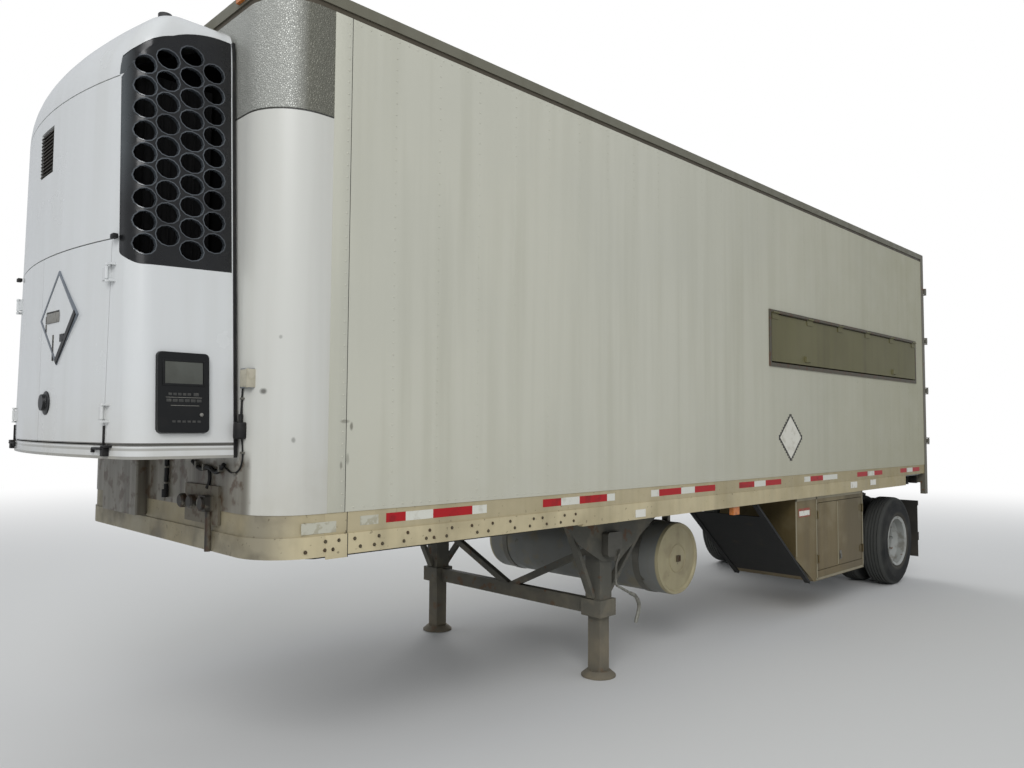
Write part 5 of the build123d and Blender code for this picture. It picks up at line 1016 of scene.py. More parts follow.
strip = blocks("seam_strip", [((PANEL_FACE - 0.001, STRIP_START, PANEL_LOW),
                               (STRIP_FACE, STRIP_END, PANEL_HIGH))], 0.0012)
strip_rivets = rivet_row("strip_rivet", 41, (0, 0, RIVET_PITCH),
                         [(STRIP_FACE, STRIP_END - 0.018, PANEL_LOW + 0.03)])
strip_edge = blocks("seam_edge", [((PANEL_FACE - 0.001, STRIP_END, PANEL_LOW),
                                   (PANEL_FACE + 0.0008, STRIP_END + 0.004, PANEL_HIGH))])
both_sides(join([strip, strip_rivets]), "side_paint")
both_sides(strip_edge, "chassis_paint")

# %% [markdown]
# ## The bottom rail's joint and bolts
# Ahead of the joint a cover plate carries the rail round to the front. Bolts in two staggered rows hold the
# lower plate to the coupler frame behind it, and stop where the plate stops. Their heads are hexagons.

# %% Joint plate and the dark gap behind it
JOINT_START, JOINT_END, JOINT = PANEL_START - 0.02, 0.463, 0.468
UPPER_HALF = RAIL_HALF - 0.008

joint_plate = blocks("joint_plate", [
    ((RAIL_HALF - 0.001, JOINT_START, RAIL_LOW), (RAIL_HALF + 0.0015, JOINT_END, LEDGE)),
    ((UPPER_HALF - 0.001, JOINT_START, LEDGE), (UPPER_HALF + 0.0015, JOINT_END, PANEL_LOW)),
], 0.0008)
both_sides(joint_plate, "rail_metal")
joint_gap = blocks("joint_gap", [
    ((RAIL_HALF - 0.001, JOINT_END, RAIL_LOW), (RAIL_HALF + 0.0005, JOINT, LEDGE)),
    ((UPPER_HALF - 0.001, JOINT_END, LEDGE), (UPPER_HALF + 0.0005, JOINT, PANEL_LOW)),
])
both_sides(joint_gap, "chassis_paint")

# %% Bolts of the lower plate
UPPER_BOLTS = (0.335, 0.413, 0.509, 0.661, 0.852, 1.006, 1.17, 1.324, 1.492, 1.642, 1.852, 1.934, 2.148, 2.26)
LOWER_BOLTS = (0.223, 0.332, 0.379, 0.544, 0.632, 0.684, 0.826, 0.982, 1.037, 1.13, 1.367, 1.457, 1.682,
               1.817, 1.974, 2.11, 2.24)
UPPER_ROW, LOWER_ROW = LEDGE - 0.030, RAIL_LOW + 0.047

bolt = rod("rail_bolts", (0, 0, 0), 0.0068, 0.009, "x", 6)
soften(bolt, 0.001)
washer = rod("washer", (-0.003, 0, 0), 0.0098, 0.003, "x", 14)
bolt_places = [(RAIL_HALF + 0.003, at(station), row) for stations, row in
               ((UPPER_BOLTS, UPPER_ROW), (LOWER_BOLTS, LOWER_ROW)) for station in stations]
both_sides(spread(join([bolt, washer]), bolt_places), "bolt_steel")

# %% [markdown]
# ## Reflective tape and blank tags
# Strips of red and white reflective tape follow the rail at uneven lengths, as on the photographed side. The
# other side can't be seen, so it mirrors this one. Tape is a thin sheet; its prism pattern is in the finish.

# %% Tape on the rails
TAPE_LOW, TAPE_HIGH, TAPE_THICK = 1.345, 1.395, 0.0013
TAPE_FACE = RAIL_HALF - 0.0072
# Each run: the stations where its strips start and end, and their colours
TAPE_RUNS = (
    ((0.711, 0.842, 1.035, 1.333, 1.450), ("red", "white", "red", "white")),
    ((1.946, 2.123, 2.310, 2.608, 2.697), ("red", "white", "red", "white")),
    ((3.137, 3.240, 3.540, 3.735, 4.044), ("white", "red", "white", "red")),
    ((4.436, 4.700, 4.905, 5.206), ("red", "white", "red")),
    ((5.681, 5.815, 6.100, 6.330, 6.443), ("white", "red", "white", "white")),
    ((6.957, 7.240, 7.430, 7.668), ("red", "white", "red")),
    ((8.233, 8.440, 8.640, 8.884), ("red", "white", "red")),
)


def tape(name, strips, low, high, face=TAPE_FACE):
    """Strips of tape on the rail between pairs of stations."""
    return blocks(name, [((face - TAPE_THICK, start, low), (face, end, high)) for start, end in strips])


for colour in ("red", "white"):
    strips = []
    for ends, shades in TAPE_RUNS:
        strips += [(start, end) for start, end, shade in zip(ends, ends[1:], shades) if shade == colour]
    both_sides(tape(f"tape_{colour}", strips, TAPE_LOW, TAPE_HIGH), f"tape_{colour}")

# %% Blank tags and old tape
# Tags: start and end station, lower and upper edge
TAGS = ((2.932, 3.056, 1.206, 1.262), (6.760, 6.930, 1.232, 1.298), (7.296, 7.450, 1.240, 1.300))
tags = blocks("tag", [((RAIL_HALF - 0.001, start, low), (RAIL_HALF + 0.0008, end, high))
                      for start, end, low, high in TAGS])
both_sides(tags, "tag_white")
old = tape("old_tape", [(0.545, 0.661)], 1.343, 1.392, RAIL_HALF - 0.0074)
older = tape("older_tape", [(0.20, 0.40)], 1.322, 1.378, RAIL_HALF - 0.0058)
both_sides(join([old, older]), "old_tape")

# %% [markdown]
# ## What shows through the grilles
# Behind each grille sit a radiator and baffles. The holes look black with a hint of fins because of an open
# near-black box behind them, which is painted shade:
# it leans like the unit's side, and its front corner is cut to fit.

# %% Unit sizes and the grille's holes
UNIT_HALF_LOW, UNIT_HALF_TOP = 1.024, 0.880
UNIT_LOW, UNIT_TOP = 1.700, 4.000
LEAN = atan2(UNIT_HALF_LOW - UNIT_HALF_TOP, UNIT_TOP - UNIT_LOW)
LEAN_TURN = (0, -LEAN, 0)
# Columns of holes: station, half length of a hole, how many
GRILLE_COLUMNS = ((-0.460, 0.049, 9), (-0.358, 0.057, 9), (-0.240, 0.060, 10), (-0.127, 0.056, 9))
ROW_FIRST, ROW_PITCH, HOLE_RISE = 2.716, 0.111, 0.050
HOLES = [(station, ROW_FIRST + (column % 2) * ROW_PITCH / 2 + row * ROW_PITCH, reach)
         for column, (station, reach, rows) in enumerate(GRILLE_COLUMNS) for row in range(rows)]


def side_at(height):
    """Half the unit's width at a height."""
    return UNIT_HALF_LOW - (height - UNIT_LOW) / (UNIT_TOP - UNIT_LOW) * (UNIT_HALF_LOW - UNIT_HALF_TOP)


print(len(HOLES), "holes in each grille")

# %% Box of painted shade behind the holes
SIDE_FOOT = 2.7
CORNER_TURN, CORNER_DEPTH = radians(38), 0.078
corner_normal = Vector((cos(CORNER_TURN) * cos(LEAN), -sin(CORNER_TURN), cos(CORNER_TURN) * sin(LEAN)))
corner_centre = Vector((side_at(SIDE_FOOT) - 0.110, at(-0.424), SIDE_FOOT))
# Planes that trim the box: a place on the plane, and the direction that is cut away
BAFFLE_CUTS = (
    ((side_at(SIDE_FOOT) - 0.029, 0, SIDE_FOOT), (cos(LEAN), 0, sin(LEAN))),
    (corner_centre + corner_normal * CORNER_DEPTH, corner_normal),
    ((0.8, at(-0.30), 3.735), Vector((0.12, -0.55, 1)).normalized()),
)
baffle = blocks("baffle", [((0.70, -0.525, 2.635), (1.0, -0.045, 3.86))])
for place, normal in BAFFLE_CUTS:
    cut(baffle, place, normal)
thicken(baffle, 0.002, 0)
both_sides(baffle, "baffle_black")

# %% Radiator core: tubes in front of a finned slab
TUBE_COUNT, TUBE_PITCH = 11, 0.0412
core = blocks("radiator", [((0.712, -0.505, 2.66), (0.755, -0.065, 3.62))], 0.004)
tube = rod("radiator_tube", (0, 0, 0), 0.006, 0.95, "z", 10)
tubes = spread(tube, [(0.762, at(-0.49 + number * TUBE_PITCH), 3.14) for number in range(TUBE_COUNT)])
both_sides(join([core, tubes]), "fin_metal")

# %% [markdown]
# ## Cap of the unit
# The cap is a moulded hood, domed in both directions, with the arched tops of the grilles let into its
# sides. A dome like this is one outline in plan that is pulled up ring by ring, each ring a little smaller:
# slowly at first, where the sides stand upright, then fast over the shoulders. The ring sizes come from two
# curves, a full one across and a softer one from front to back.

# %% Plan outline at the foot of the cap
CAP_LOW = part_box("unit_cap")[0]
CAP_HALF, CAP_DEPTH, BOW, CORNER = side_at(CAP_LOW.z), 0.640, 0.130, 0.110
BOW_RADIUS = (CAP_HALF ** 2 + BOW ** 2) / (2 * BOW)
BOW_CENTRE = BOW_RADIUS - CAP_DEPTH
CORNER_STEPS, BOW_STEPS = 8, 12

corner_x = CAP_HALF - CORNER
corner_s = BOW_CENTRE - sqrt((BOW_RADIUS - CORNER) ** 2 - corner_x ** 2)
bow_turn = asin(corner_x / (BOW_RADIUS - CORNER))
half_outline = [(CAP_HALF - 0.055, 0.0), (CAP_HALF, -0.030)]
half_outline += [(CAP_HALF, station) for station in (-0.12, -0.21, -0.30, -0.37)]
for step in range(CORNER_STEPS + 1):
    angle = (pi / 2 - bow_turn) * step / CORNER_STEPS
    half_outline.append((corner_x + CORNER * cos(angle), corner_s - CORNER * sin(angle)))
for step in range(1, BOW_STEPS + 1):
    angle = bow_turn * (1 - step / BOW_STEPS)
    half_outline.append((BOW_RADIUS * sin(angle), BOW_CENTRE - BOW_RADIUS * cos(angle)))
whole_outline = half_outline + [(-x, s) for x, s in reversed(half_outline[:-1])]
print(len(whole_outline), "points round the cap")

# %% Rings up to the crown
CAP_RISE = UNIT_TOP - CAP_LOW.z
SHARES = (0, 0.1, 0.2, 0.3, 0.4, 0.48, 0.56, 0.63, 0.70, 0.76, 0.81, 0.86, 0.90, 0.93, 0.955, 0.975,
          0.99, 0.998)


def ring_size(share):
    """How large the ring at this share of the rise is, across and from front to back."""
    lean = side_at(CAP_LOW.z + share * CAP_RISE) / CAP_HALF
    return lean * (1 - share ** 8) ** 0.25, (1 - share ** 2) ** (1 / 3)


cap = drawn_line("unit_hood", [(x, at(s), CAP_LOW.z) for x, s in [*whole_outline, whole_outline[0]]])
edit_all(cap)
bpy.ops.mesh.remove_doubles(threshold=0.0001)
for low, high in zip(SHARES, SHARES[1:]):
    (wide, deep), (wide_low, deep_low) = ring_size(high), ring_size(low)
    lift = (high - low) * CAP_RISE
    bpy.ops.mesh.extrude_region_move(TRANSFORM_OT_translate={"value": (0, 0, lift)})
    bpy.ops.transform.resize(value=(wide / wide_low, deep / deep_low, 1),
                             center_override=(0, at(0), UNIT_TOP))
bpy.ops.mesh.edge_face_add()
bpy.ops.mesh.poke()
face_out()
thicken(cap, 0.012, -1)
print("cap", len(cap.data.polygons), "faces")

# %% Openings for the grilles: the arch of each grille, and the shoulder ahead of it
ARCH_S, ARCH_Z, ARCH_RADIUS = -0.0879, 3.3743, 0.4850
ARCH_START, ARCH_END, ARCH_STEPS = radians(83.7), radians(159.0), 16
ARCH_BACK, ARCH_FOOT = -0.0338, 3.50
arch = []
for step in range(ARCH_STEPS + 1):
    angle = ARCH_START + (ARCH_END - ARCH_START) * step / ARCH_STEPS
    arch.append((ARCH_S + ARCH_RADIUS * cos(angle), ARCH_Z + ARCH_RADIUS * sin(angle)))
arch = [(ARCH_BACK, ARCH_FOOT), (ARCH_BACK, arch[0][1]), *arch, (arch[-1][0], ARCH_FOOT)]
SHOULDER = ((-0.330, 3.70), (-0.330, 3.793), (-0.360, 3.782), (-0.389, 3.769), (-0.431, 3.745),
            (-0.465, 3.719), (-0.492, 3.696), (-0.514, 3.678), (-0.531, 3.660), (-0.543, 3.640),
            (-0.551, 3.610), (-0.556, 3.50))
CREST_SINK = (0.0015, 0.0015, 0.001)

crests = []
for hand, word in ((1, "left"), (-1, "right")):
    opening = drawn_prism("opening", [(hand * 0.796, at(s), z) for s, z in arch], (hand * 0.3, 0, 0))
    shoulder = drawn_prism("shoulder", [(hand * 0.782, at(s), z) for s, z in SHOULDER], (hand * 0.3, 0, 0))
    crest = copy_of(cap, f"{word}_crest")
    carve(crest, shoulder, "INTERSECT")
    carve(crest, opening)
    crests.append((crest, hand))
    carve(cap, shoulder)
    carve(cap, opening)
    bpy.data.objects.remove(opening)
    bpy.data.objects.remove(shoulder)
for crest, hand in crests:
    nudge(crest, (-hand * CREST_SINK[0], CREST_SINK[1], -CREST_SINK[2]))
    hand_over(crest, "trailer", "grille_black")
hand_over(cap, "trailer", "unit_gloss", 40)
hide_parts("unit_cap")

# %% Exhaust stack on the cap
stack = rod("stack", (0.29, at(-0.15), 4.065), 0.038, 0.25, "z", 32)
sink(stack, lambda centre, normal: normal.z > 0.9, 0.004, (0, 0, -0.08))
soften(stack, 0.0015)
hand_over(stack, "trailer", "engine_iron")

# %% [markdown]
# ## Rims round the grille's holes
# Every hole has a rolled rim, coloured a paler blue-grey than the grille as a painted highlight. The rims
# come from the CAD grille itself: a copy keeps only the walls of its holes, which are thickened and pushed
# out a little, so they follow the rounded corner.

# %% Rims
def out_of_hole(centre, normal):
    """True for a face of the grille that is no part of a hole's wall."""
    if abs(normal.x) > 0.45:
        return True
    return all(hypot((centre.y - at(station)) / reach, (centre.z - height) / HOLE_RISE) >= 1.06
               for station, height, reach in HOLES)


rims = copy_of(nodes["unit_left_grille"], "grille_rims")
pick_faces(rims, out_of_hole)
bpy.ops.mesh.delete(type="FACE")
face_out(0.00005)
thicken(rims, 0.005, 0.6)
nudge(rims, (0.0022, -0.0008, 0))
both_sides(rims, "rim_black")

# %% [markdown]
# ## Vent, control panel and latches of the unit
# The small parts of the unit start as cuboids and cylinders. The panel's face leans like the side that
# carries it, so its screen and keys are made upright and turned by the same angle about one point.

# %% Louvre in the upper front panel
SLAT_COUNT, SLAT_PITCH, SLAT_TURN = 12, 0.0198, radians(35)
slat = placed(block("louvre", (-0.112, -0.010, -0.0025), (0.112, 0.006, 0.0025)), turn=(SLAT_TURN, 0, 0))
soften(slat, 0.0008, 1)
slats = spread(slat, [(-0.025, at(-0.632), 3.232 + number * SLAT_PITCH) for number in range(SLAT_COUNT)])
back = blocks("louvre_back", [((-0.139, -0.6262, 3.216), (0.089, -0.6255, 3.469))])
hand_over(join([slats, back]), "trailer", "vent_plastic")

# %% Control panel face
PANEL_S = (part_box("control_panel")[0][1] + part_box("control_panel")[1][1]) / 2 - FRONT
PANEL_Z = 2.015
PANEL_PROUD = 0.022
PANEL_PLACE = (side_at(PANEL_Z) + PANEL_PROUD / cos(LEAN), at(PANEL_S), PANEL_Z)


def on_panel(name, parts):
    """Flat cuboids on the panel's face. Columns: along, up from the middle, width, height, thickness."""
    made = []
    for along, up, width, rise, thick in parts:
        piece = block(name, (0, along - width / 2, up - rise / 2), (thick, along + width / 2, up + rise / 2))
        soften(piece, min(0.0025, thick * 0.45), 2)
        made.append(placed(piece, PANEL_PLACE, LEAN_TURN))
    return join(made)


# %% Screen, brow, keys, lines and knob of the panel
SCREEN = ((0.0, 0.095, 0.180, 0.105, 0.0015),)
BROW = ((0.0, 0.1525, 0.196, 0.010, 0.0035), (0.0, 0.0375, 0.196, 0.010, 0.0035),
        (-0.098, 0.095, 0.010, 0.125, 0.0035), (0.098, 0.095, 0.010, 0.125, 0.0035))
KEYS = [(-0.066 + number * 0.0225, -0.008, 0.017, 0.012, 0.0022) for number in range(5)]
KEYS += [(0.058, -0.008, 0.026, 0.016, 0.0022)]
KEYS += [(-0.072 + number * 0.0288, -0.038, 0.023, 0.014, 0.0022) for number in range(6)]
KEYS += [(-0.048 + number * 0.024, -0.138, 0.016, 0.010, 0.0018) for number in range(6)]
LINES = ((0.0, -0.0235, 0.172, 0.0022, 0.0008), (0.005, -0.062, 0.135, 0.0022, 0.0008))

for name, parts, look in (("panel_screen", SCREEN, "screen_grey"), ("brow", BROW, "dark_plastic"),
                          ("panel_keys", KEYS, "key_grey")):
    hand_over(on_panel(name, parts), "trailer", look)
lines = on_panel("panel_lines", LINES)
knob = rod("panel_knob", (0.004, 0.083, -0.105), 0.0085, 0.010, "x", 20)
soften(knob, 0.002)
knob = placed(knob, PANEL_PLACE, LEAN_TURN)
hand_over(join([knob, lines]), "trailer", "pale_grey")

# %% Knob in black: the faces of the CAD door that belong to it
KNOB_X, KNOB_Z = 0.095, 1.975
door_mesh = nodes["unit_left_door"].data
door_mesh.materials.append(MATERIALS["dark_plastic"])
for face in door_mesh.polygons:
    beside = hypot(face.center.x - KNOB_X, face.center.z - KNOB_Z)
    if beside < 0.05 and face.center.y < at(-0.6405):
        face.material_index = 1

# %% Latches at the corner seams, black rubber
LATCH = (
    ((0.815, -0.5735, 2.744), (0.858, -0.549, 2.766)),
    ((0.700, -0.590, 1.742), (0.822, -0.566, 1.753)),
    ((0.700, -0.592, 1.728), (0.716, -0.566, 1.748)),
    ((0.800, -0.582, 1.712), (0.838, -0.550, 1.752)),
    ((0.795, -0.580, 1.752), (0.862, -0.546, 1.764)),
    ((0.7925, -0.571, 1.764), (0.7995, -0.556, 1.856)),
)
both_sides(blocks("corner_latches", LATCH, 0.003), "rubber_black")

# %% Gasket between the unit's side and the wall, its black also painted shade in the step there, and the plate behind the knob
GASKET_LENGTH = 2.17
# The black gasket strip also stands for the shade in the step between the unit and the wall.
gasket_and_shade = block("unit_gasket_and_shade", (-0.012, -0.0085, 0), (0.0035, 0.0085, GASKET_LENGTH))
soften(gasket_and_shade, 0.002, 1)
gasket_and_shade = placed(gasket_and_shade, (side_at(UNIT_LOW), at(-0.0205), UNIT_LOW), LEAN_TURN)
both_sides(gasket_and_shade, "rubber_black")
knob_plate = rod("knob_plate", (0.120, at(-0.6385), 1.972), 0.063, 0.009, "y", 40)
soften(knob_plate, 0.003)
hand_over(knob_plate, "unit_left_door", "dark_plastic")

# %% [markdown]
# ## Lamp, cables and hose on the front wall
# A wall lamp, a round sensor box and the leads between them are clipped flat to the sheet beside the unit.
# A lead is a curve with a round section that is turned into a mesh, with clips across it.

# %% Clearance lamp on the corner, and the sensor box below it
lamp_body = blocks("corner_lamp", [((1.045, -0.020, 2.050), (1.125, 0.03, 2.140)),
                                   ((1.098, -0.021, 2.047), (1.130, 0.031, 2.143))], 0.006)
lamp_rim = blocks("lamp_rim", [((1.040, -0.016, 2.045), (1.128, 0.03, 2.145))], 0.005)
hand_over(lamp_body, "trailer", "lamp_cover")
hand_over(lamp_rim, "trailer", "holder_metal")
sensor = rod("sensor_box", (1.052, at(-0.012), 1.835), 0.034, 0.085, "z", 24)
soften(sensor, 0.010, 3)
neck = rod("sensor_neck", (1.052, at(-0.012), 1.892), 0.011, 0.05, "z", 14)
hand_over(join([sensor, neck]), "trailer", "rubber_black")

# %% Harness and drain hose, clipped to the wall
# Each lead: its radius, the sides of its section, and its points as (across, station, height)
LEADS = (
    (0.0040, 8, ((1.050, -0.004, 1.89), (1.047, -0.004, 1.97), (1.050, -0.004, 2.05))),
    (0.0032, 8, ((1.030, -0.0035, 1.86), (1.036, -0.0035, 1.94), (1.046, -0.0035, 2.05))),
    (0.0042, 8, ((1.052, -0.004, 1.80), (1.062, -0.003, 1.74), (1.058, -0.003, 1.675),
                 (1.020, -0.005, 1.632), (0.95, -0.005, 1.622), (0.88, -0.005, 1.645))),
    (0.011, 12, ((0.50, -0.0115, 1.665), (0.60, -0.0115, 1.628), (0.70, -0.0115, 1.640),
                 (0.80, -0.0115, 1.618), (0.88, -0.0115, 1.66))),
    (0.009, 12, ((0.70, -0.010, 1.640), (0.712, -0.010, 1.60), (0.706, -0.010, 1.555),
                 (0.695, -0.016, 1.53))),
)
HOSE = ((0.15, -0.0125, 1.685), (0.152, -0.0125, 1.60), (0.148, -0.0125, 1.53), (0.152, -0.0125, 1.48))
harness = [pipe("unit_harness", points, radius, sides) for radius, sides, points in LEADS]
hand_over(join(harness), "trailer", "rubber_black", 60)
hose = [pipe("drain_hose", HOSE, 0.012, 12),
        rod("hose_end", (0.152, at(-0.0185), 1.470), 0.018, 0.045, "z", 20)]
hand_over(join(hose), "trailer", "rubber_black", 60)

# %% Clips of the hose and the leads, and two strips that cover seams of the front sheet
CLIPS = [((0.132, -0.0265, height), (0.172, 0.001, height + 0.010)) for height in (1.615, 1.525)]
CLIPS += [((across - 0.007, -0.0245, height), (across + 0.007, 0.001, height + 0.034))
          for across, height in ((0.56, 1.633), (0.655, 1.622), (0.845, 1.622))]
CLIPS += [((across - 0.004, -0.010, height), (across + 0.026, 0.003, height + 0.010))
          for across, height in ((1.036, 1.99), (1.051, 1.72), (0.975, 1.612))]
CLIPS += [((across, -0.004, 1.425), (across + 0.025, 0.0005, 1.655)) for across in (0.085, -0.905)]
hand_over(blocks("harness_clips", CLIPS, 0.0012, 1), "trailer", "zinc")

# %% [markdown]
# ## Placard holders, left blank
# The holder on the unit's door is a pressed metal frame that stands on a point, with clips. The side one is
# a printed square on a point with a toothed border: many short teeth in a row with a plain square on them.

# %% Square plates on a point
def plate_on_point(name, half_width, half_height, thick, place, facing):
    """A thin square on a point: a four-sided cylinder squashed to size, facing along +X or -Y."""
    piece = rod(name, (0, 0, 0), 1.0, thick, "x", 4)
    piece.scale = (1, half_width, half_height)
    settle(piece)
    return placed(piece, place, (0, 0, radians(-90)) if facing == "y" else (0, 0, 0))


# %% Side placard
PLACARD_S, PLACARD_Z = 5.40, 1.78
FIELD_PLACE = (PANEL_FACE + 0.0012, at(PLACARD_S), PLACARD_Z)
EDGE_PLACE = (PANEL_FACE + 0.0005, at(PLACARD_S), PLACARD_Z)
TEETH, TOOTH_HALF, TEETH_WIDE, TEETH_TALL = 9, 0.0125, 0.237, 0.221

white = plate_on_point("placard_field", 0.215, 0.200, 0.0016, FIELD_PLACE, "x")
both_sides(white, "placard_white")
teeth = []
for corner in range(4):
    turn = corner * pi / 2
    for number in range(TEETH):
        share = (number + 0.5) / TEETH
        along = ((1 - share) * cos(turn) + share * cos(turn + pi / 2)) * TEETH_WIDE
        up = ((1 - share) * sin(turn) + share * sin(turn + pi / 2)) * TEETH_TALL
        tooth = block("placard_teeth", (-0.0006, -TOOTH_HALF, -TOOTH_HALF), (0.0006, TOOTH_HALF, TOOTH_HALF))
        teeth.append(placed(tooth, (PANEL_FACE + 0.0006, at(PLACARD_S) + along, PLACARD_Z + up)))
outer = plate_on_point("placard_edge", 0.240, 0.224, 0.0008, EDGE_PLACE, "x")
both_sides(join([*teeth, outer]), "placard_black")

# %% Holder on the unit's door, turned a little to follow the bowed door
HOLDER_HALF, HOLDER_FACE = 0.245, -0.0098
HOLDER_PLACE = (0.262, at(-0.6238), 2.41)
HOLDER_TURN = (0, 0, radians(3.7))


def on_holder(piece, look):
    """Turns a piece made round the origin to the door's slope, at the holder's place."""
    hand_over(placed(piece, HOLDER_PLACE, HOLDER_TURN), "unit_left_door", look)


def low_block(name, left, right, low, high, front=-0.0125, back=HOLDER_FACE):
    """A cuboid on the holder, made round the origin."""
    return block(name, (left, front, low), (right, back, high))


edge = plate_on_point("placard_holder", HOLDER_HALF, HOLDER_HALF, 0.013, (0, -0.0065, 0), "y")
sink(edge, lambda centre, normal: normal.y < -0.9, 0.014, (0, 0.004, 0))
on_holder(edge, "holder_metal")
# A near-black strip on the holder's lower right edge: painted shade on its folded edge.
shaded_fold = low_block("holder_shaded_fold", -0.168, 0.172, -0.016, 0.016, -0.0165, -0.009)
edge_middle = HOLDER_HALF / 2 - 0.011
shaded_fold = placed(shaded_fold, (edge_middle, 0, -edge_middle), (0, radians(-45), 0))
step_clip = low_block("step_clip", 0.045, 0.100, -0.128, -0.088, -0.0165)
for part in (shaded_fold, step_clip):
    soften(part, 0.002, 1)
on_holder(join([shaded_fold, step_clip]), "dark_plastic")

# %% Field, flap and clips of the holder
FIELD_HALF = HOLDER_HALF - 0.022
field = plate_on_point("holder_field", FIELD_HALF, FIELD_HALF, 0.002, (0, HOLDER_FACE, 0), "y")
on_holder(field, "unit_gloss")
backs = [low_block("holder_flap_back", -0.158, 0.020, -0.022, 0.040),
         low_block("slot", -0.064, -0.046, -0.220, -0.085)]
backs += [low_block("clip", -0.165, -0.153, up - 0.020, up + 0.020, -0.0135) for up in (-0.045, -0.002)]
backs = join(backs)
soften(backs, 0.001, 1)
on_holder(backs, "placard_black")
flap = low_block("holder_flap", -0.146, 0.024, -0.022, 0.030, -0.0155, -0.0120)
soften(flap, 0.002, 2)
on_holder(flap, "pale_grey")

# %% [markdown]
# ## Tyres with their tread, and the wheel's nuts
# A tyre is round, so its outline is drawn once by extruding a vertex from point to point, and spun about the
# axle. Half of the outline is listed and the rest is its mirror image. The grooves of the tread are part of
# it. The spun tyres replace the CAD ones.

# %% Outline and spin
AXLE = Vector((0, at(AXLE_STATION), TYRE_RADIUS))
RIM_MIDDLE, TWIN_HALF = 0.908, 0.1715
# Points of half the outline: distance from the tyre's middle, radius
SIDEWALL = ((0.103, 0.286), (0.120, 0.299), (0.130, 0.330), (0.1335, 0.337), (0.1325, 0.345), (0.135, 0.401),
            (0.1335, 0.428), (0.1347, 0.434), (0.1315, 0.440), (0.1235, 0.470), (0.1150, 0.492),
            (0.1110, 0.494), (0.1065, 0.5065), (0.0950, 0.5125), (0.0850, 0.5165))
TREAD = ((0.0780, 0.5185), (0.0760, 0.5075), (0.0670, 0.5075), (0.0650, 0.5190), (0.0400, 0.5198),
         (0.0380, 0.5080), (0.0290, 0.5080), (0.0270, 0.5200), (0.0055, 0.5200), (0.0040, 0.5085),
         (-0.0040, 0.5085), (-0.0055, 0.5200))
CLEAR_OF_FLOOR = 0.9995

outer = [*SIDEWALL, *TREAD]
outline = outer + [(-across, radius) for across, radius in reversed(outer[:-2])]
tyre = drawn_line("tyre", [(across, 0, radius * CLEAR_OF_FLOOR) for across, radius in [*outline, outline[0]]])
edit_all(tyre)
bpy.ops.mesh.spin(steps=96, angle=2 * pi, center=(0, 0, 0), axis=(1, 0, 0))
face_out(0.0002)
for hand, word in ((1, "left"), (-1, "right")):
    places = [(hand * (RIM_MIDDLE + side), AXLE.y, AXLE.z) for side in (TWIN_HALF, -TWIN_HALF)]
    pair = spread(copy_of(tyre, f"{word}_tread"), places)
    hand_over(pair, f"{word}_wheels", "tyre_rubber", 40)
    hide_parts(f"{word}_tyres")
bpy.data.objects.remove(tyre)

# %% Nuts, and bolts of the hub cap
NUTS, NUT_CIRCLE, MOUNT_FACE = 10, 0.143, 0.920
BOLT_CIRCLE, CAP_FACE = 0.0695, RIM_MIDDLE + 0.158


def round_axle(piece, word, hand, across, circle, turns):
    """Copies a piece round the axle on one side and hands the ring over."""
    places = [(hand * across, AXLE.y + circle * cos(turn), AXLE.z + circle * sin(turn)) for turn in turns]
    ring = spread(mirrored(piece, f"{word}_{piece.name}s", hand), places)
    hand_over(ring, f"{word}_wheels", "bolt_steel")


nut = rod("nut", (0.010, 0, 0), 0.0175, 0.020, "x", 6)
soften(nut, 0.002)
stud = rod("stud", (0.016, 0, 0), 0.0095, 0.032, "x", 12)
soften(stud, 0.0015)
nut = join([nut, stud])
cap_bolt = rod("cap_bolt", (0.002, 0, 0), 0.006, 0.005, "x", 6)
turns = [2 * pi * number / NUTS for number in range(NUTS)]
for hand, word in ((1, "left"), (-1, "right")):
    round_axle(nut, word, hand, MOUNT_FACE, NUT_CIRCLE, turns)
    round_axle(cap_bolt, word, hand, CAP_FACE, BOLT_CIRCLE, turns[::2])
for part in (nut, cap_bolt):
    bpy.data.objects.remove(part)

# %% [markdown]
# ## Belly box, tank, crank and hatch
# Angle trims cover the box's corners and door edges, and a blank label sits on the front part. The tank's
# end has a ring weld and a square plug. The hatch is skinned with sheets, whose seams show as thin battens.

# %% Belly box trims and label
BOX_FACE = 1.250


def on_box(name, parts, body, look, edge=0.0, segments=1):
    """Thin cuboids on the box's face: start and end station, low, high, depth behind it, rise before it."""
    corners = [((BOX_FACE - behind, start, low), (BOX_FACE + before, end, high))
               for start, end, low, high, behind, before in parts]
    hand_over(blocks(name, corners, edge, segments), body, look)


UPRIGHTS = ((5.563, 0.63), (6.008, 0.36), (7.152, 0.36))
TRIMS = [(start, start + 0.022, low, 1.185, 0.002, 0.0035) for start, low in UPRIGHTS]
TRIMS += [(5.99, 7.176, 0.350, 0.372, 0.002, 0.0035), (5.563, 7.176, 1.158, 1.187, 0.002, 0.0035)]
on_box("belly_trims", TRIMS, "trailer", "trim_metal", 0.0012)
on_box("belly_label_edge", [(5.630, 5.880, 1.000, 1.085, 0.001, 0.0008)], "trailer", "label_red")
on_box("belly_label", [(5.642, 5.868, 1.012, 1.060, 0.001, 0.0013)], "trailer", "tag_white")
on_box("belly_lap", [(6.514, 6.532, 0.455, 1.105, 0.002, 0.0035)], "belly_front_door", "trim_metal", 0.0012)
CATCH = [(6.552, 6.600, 0.500, 0.590, 0.002, 0.004), (6.562, 6.590, 0.512, 0.560, -0.002, 0.014)]
on_box("belly_catch", CATCH, "belly_rear_door", "zinc", 0.002, 2)

# %% Tank end, its weld ring and plug
TANK_S, TANK_Z, TANK_END = 3.925, 0.767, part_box("fuel_tank")[1][0]
WELD_RADIUS, PLUG_HALF = 0.115, 0.026

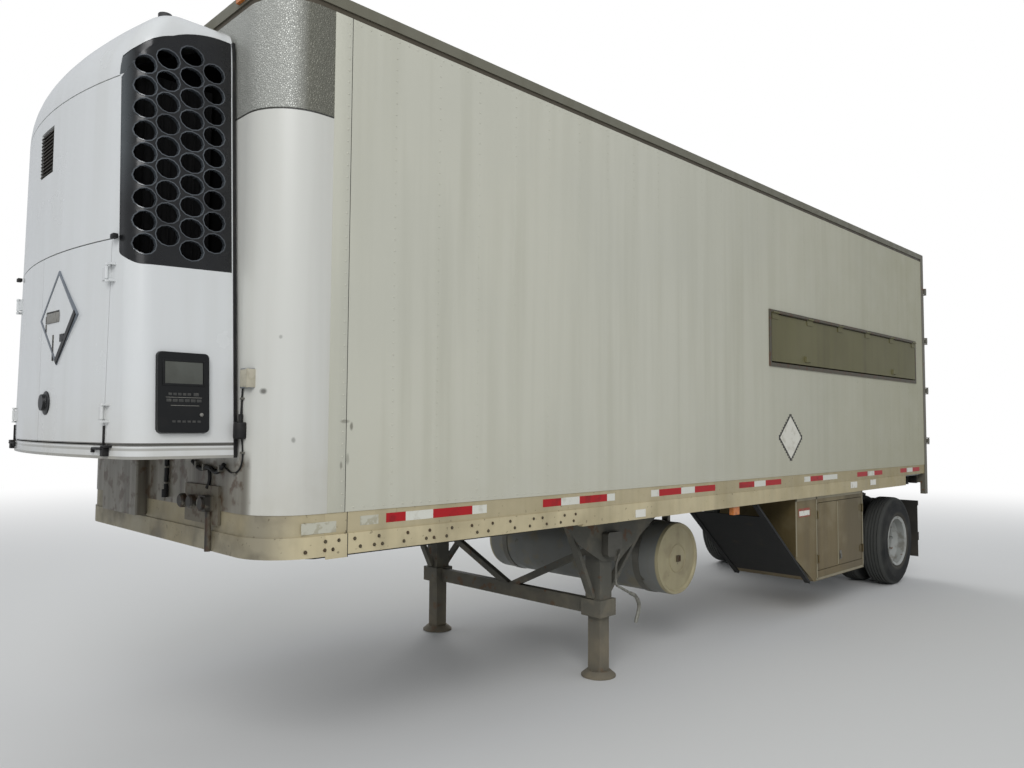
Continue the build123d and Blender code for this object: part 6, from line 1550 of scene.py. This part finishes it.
bpy.ops.object.select_all(action="DESELECT")
bpy.ops.mesh.primitive_torus_add(major_radius=WELD_RADIUS, minor_radius=0.0065, major_segments=64,
                                 minor_segments=8, location=(TANK_END - 0.005, at(TANK_S), TANK_Z),
                                 rotation=TURNS["x"])
ring = started("tank_weld")
plug = blocks("tank_plug", [((TANK_END - 0.002, TANK_S - PLUG_HALF, TANK_Z - PLUG_HALF),
                             (TANK_END + 0.012, TANK_S + PLUG_HALF, TANK_Z + PLUG_HALF))])
sink(plug, lambda centre, normal: normal.x > 0.9, 0.009, (-0.008, 0, 0))
soften(plug, 0.0025)
hand_over(ring, "trailer", "tank_metal")
hand_over(plug, "trailer", "bolt_steel")

# %% Grip of the crank
CRANK_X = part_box("crank")[1][0] - 0.010
GRIP = ((3.130, 0.604), (3.190, 0.575), (3.238, 0.500), (3.197, 0.376))
grip = pipe("crank_grip", [(CRANK_X, station, height) for station, height in GRIP], 0.0145, 12)
hand_over(grip, "trailer", "worn_grey")

# %% Hatch battens
SHEETS, BATTEN_HALF, BATTEN_MARGIN = 6, 0.012, 0.045
battens = []
for number in range(1, SHEETS):
    middle = HATCH_LOW[1] - FRONT + (HATCH_HIGH[1] - HATCH_LOW[1]) * number / SHEETS
    battens.append(((PANEL_FACE - 0.002, middle - BATTEN_HALF, HATCH_LOW[2] + BATTEN_MARGIN),
                    (PANEL_FACE + 0.0015, middle + BATTEN_HALF, HATCH_HIGH[2] - BATTEN_MARGIN)))
hand_over(blocks("hatch_battens", battens, 0.001, 1), "hatch", "hatch_metal")

# %% [markdown]
# ## Roof seams and rear door seals
# The roof is laid in sheets of 1.22 m that lap at raised seams, and black rubber seals close the gap between
# the rear doors.

# %% Roof seams
ROOF_LOW, ROOF_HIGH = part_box("roof")
ROOF_SHEETS, SHEET_PITCH = 7, 1.22
seam = blocks("roof_seams", [((ROOF_LOW[0] + 0.03, 0.72, ROOF_HIGH[2] - 0.001),
                              (ROOF_HIGH[0] - 0.03, 0.76, ROOF_HIGH[2] + 0.0015))])
array(seam, ROOF_SHEETS, (0, SHEET_PITCH, 0))
soften(seam, 0.0008, 1)
hand_over(seam, "trailer", "roof_sheet")

# %% Rear door seals
LEAF_STATION, SEAL_WIDTH = 9.144, 0.022
for word in ("left", "right"):
    low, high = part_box(f"{word}_rear_door")
    inner = min(low[0], high[0], key=abs)
    start, end = sorted((inner, inner + SEAL_WIDTH * (1 if word == "left" else -1)))
    seals = blocks(f"{word}_door_seals", [((start, LEAF_STATION - 0.004, low[2] + 0.02),
                                           (end, LEAF_STATION + 0.003, high[2] - 0.02))], 0.0015)
    hand_over(seals, f"{word}_rear_door", "rubber_black")
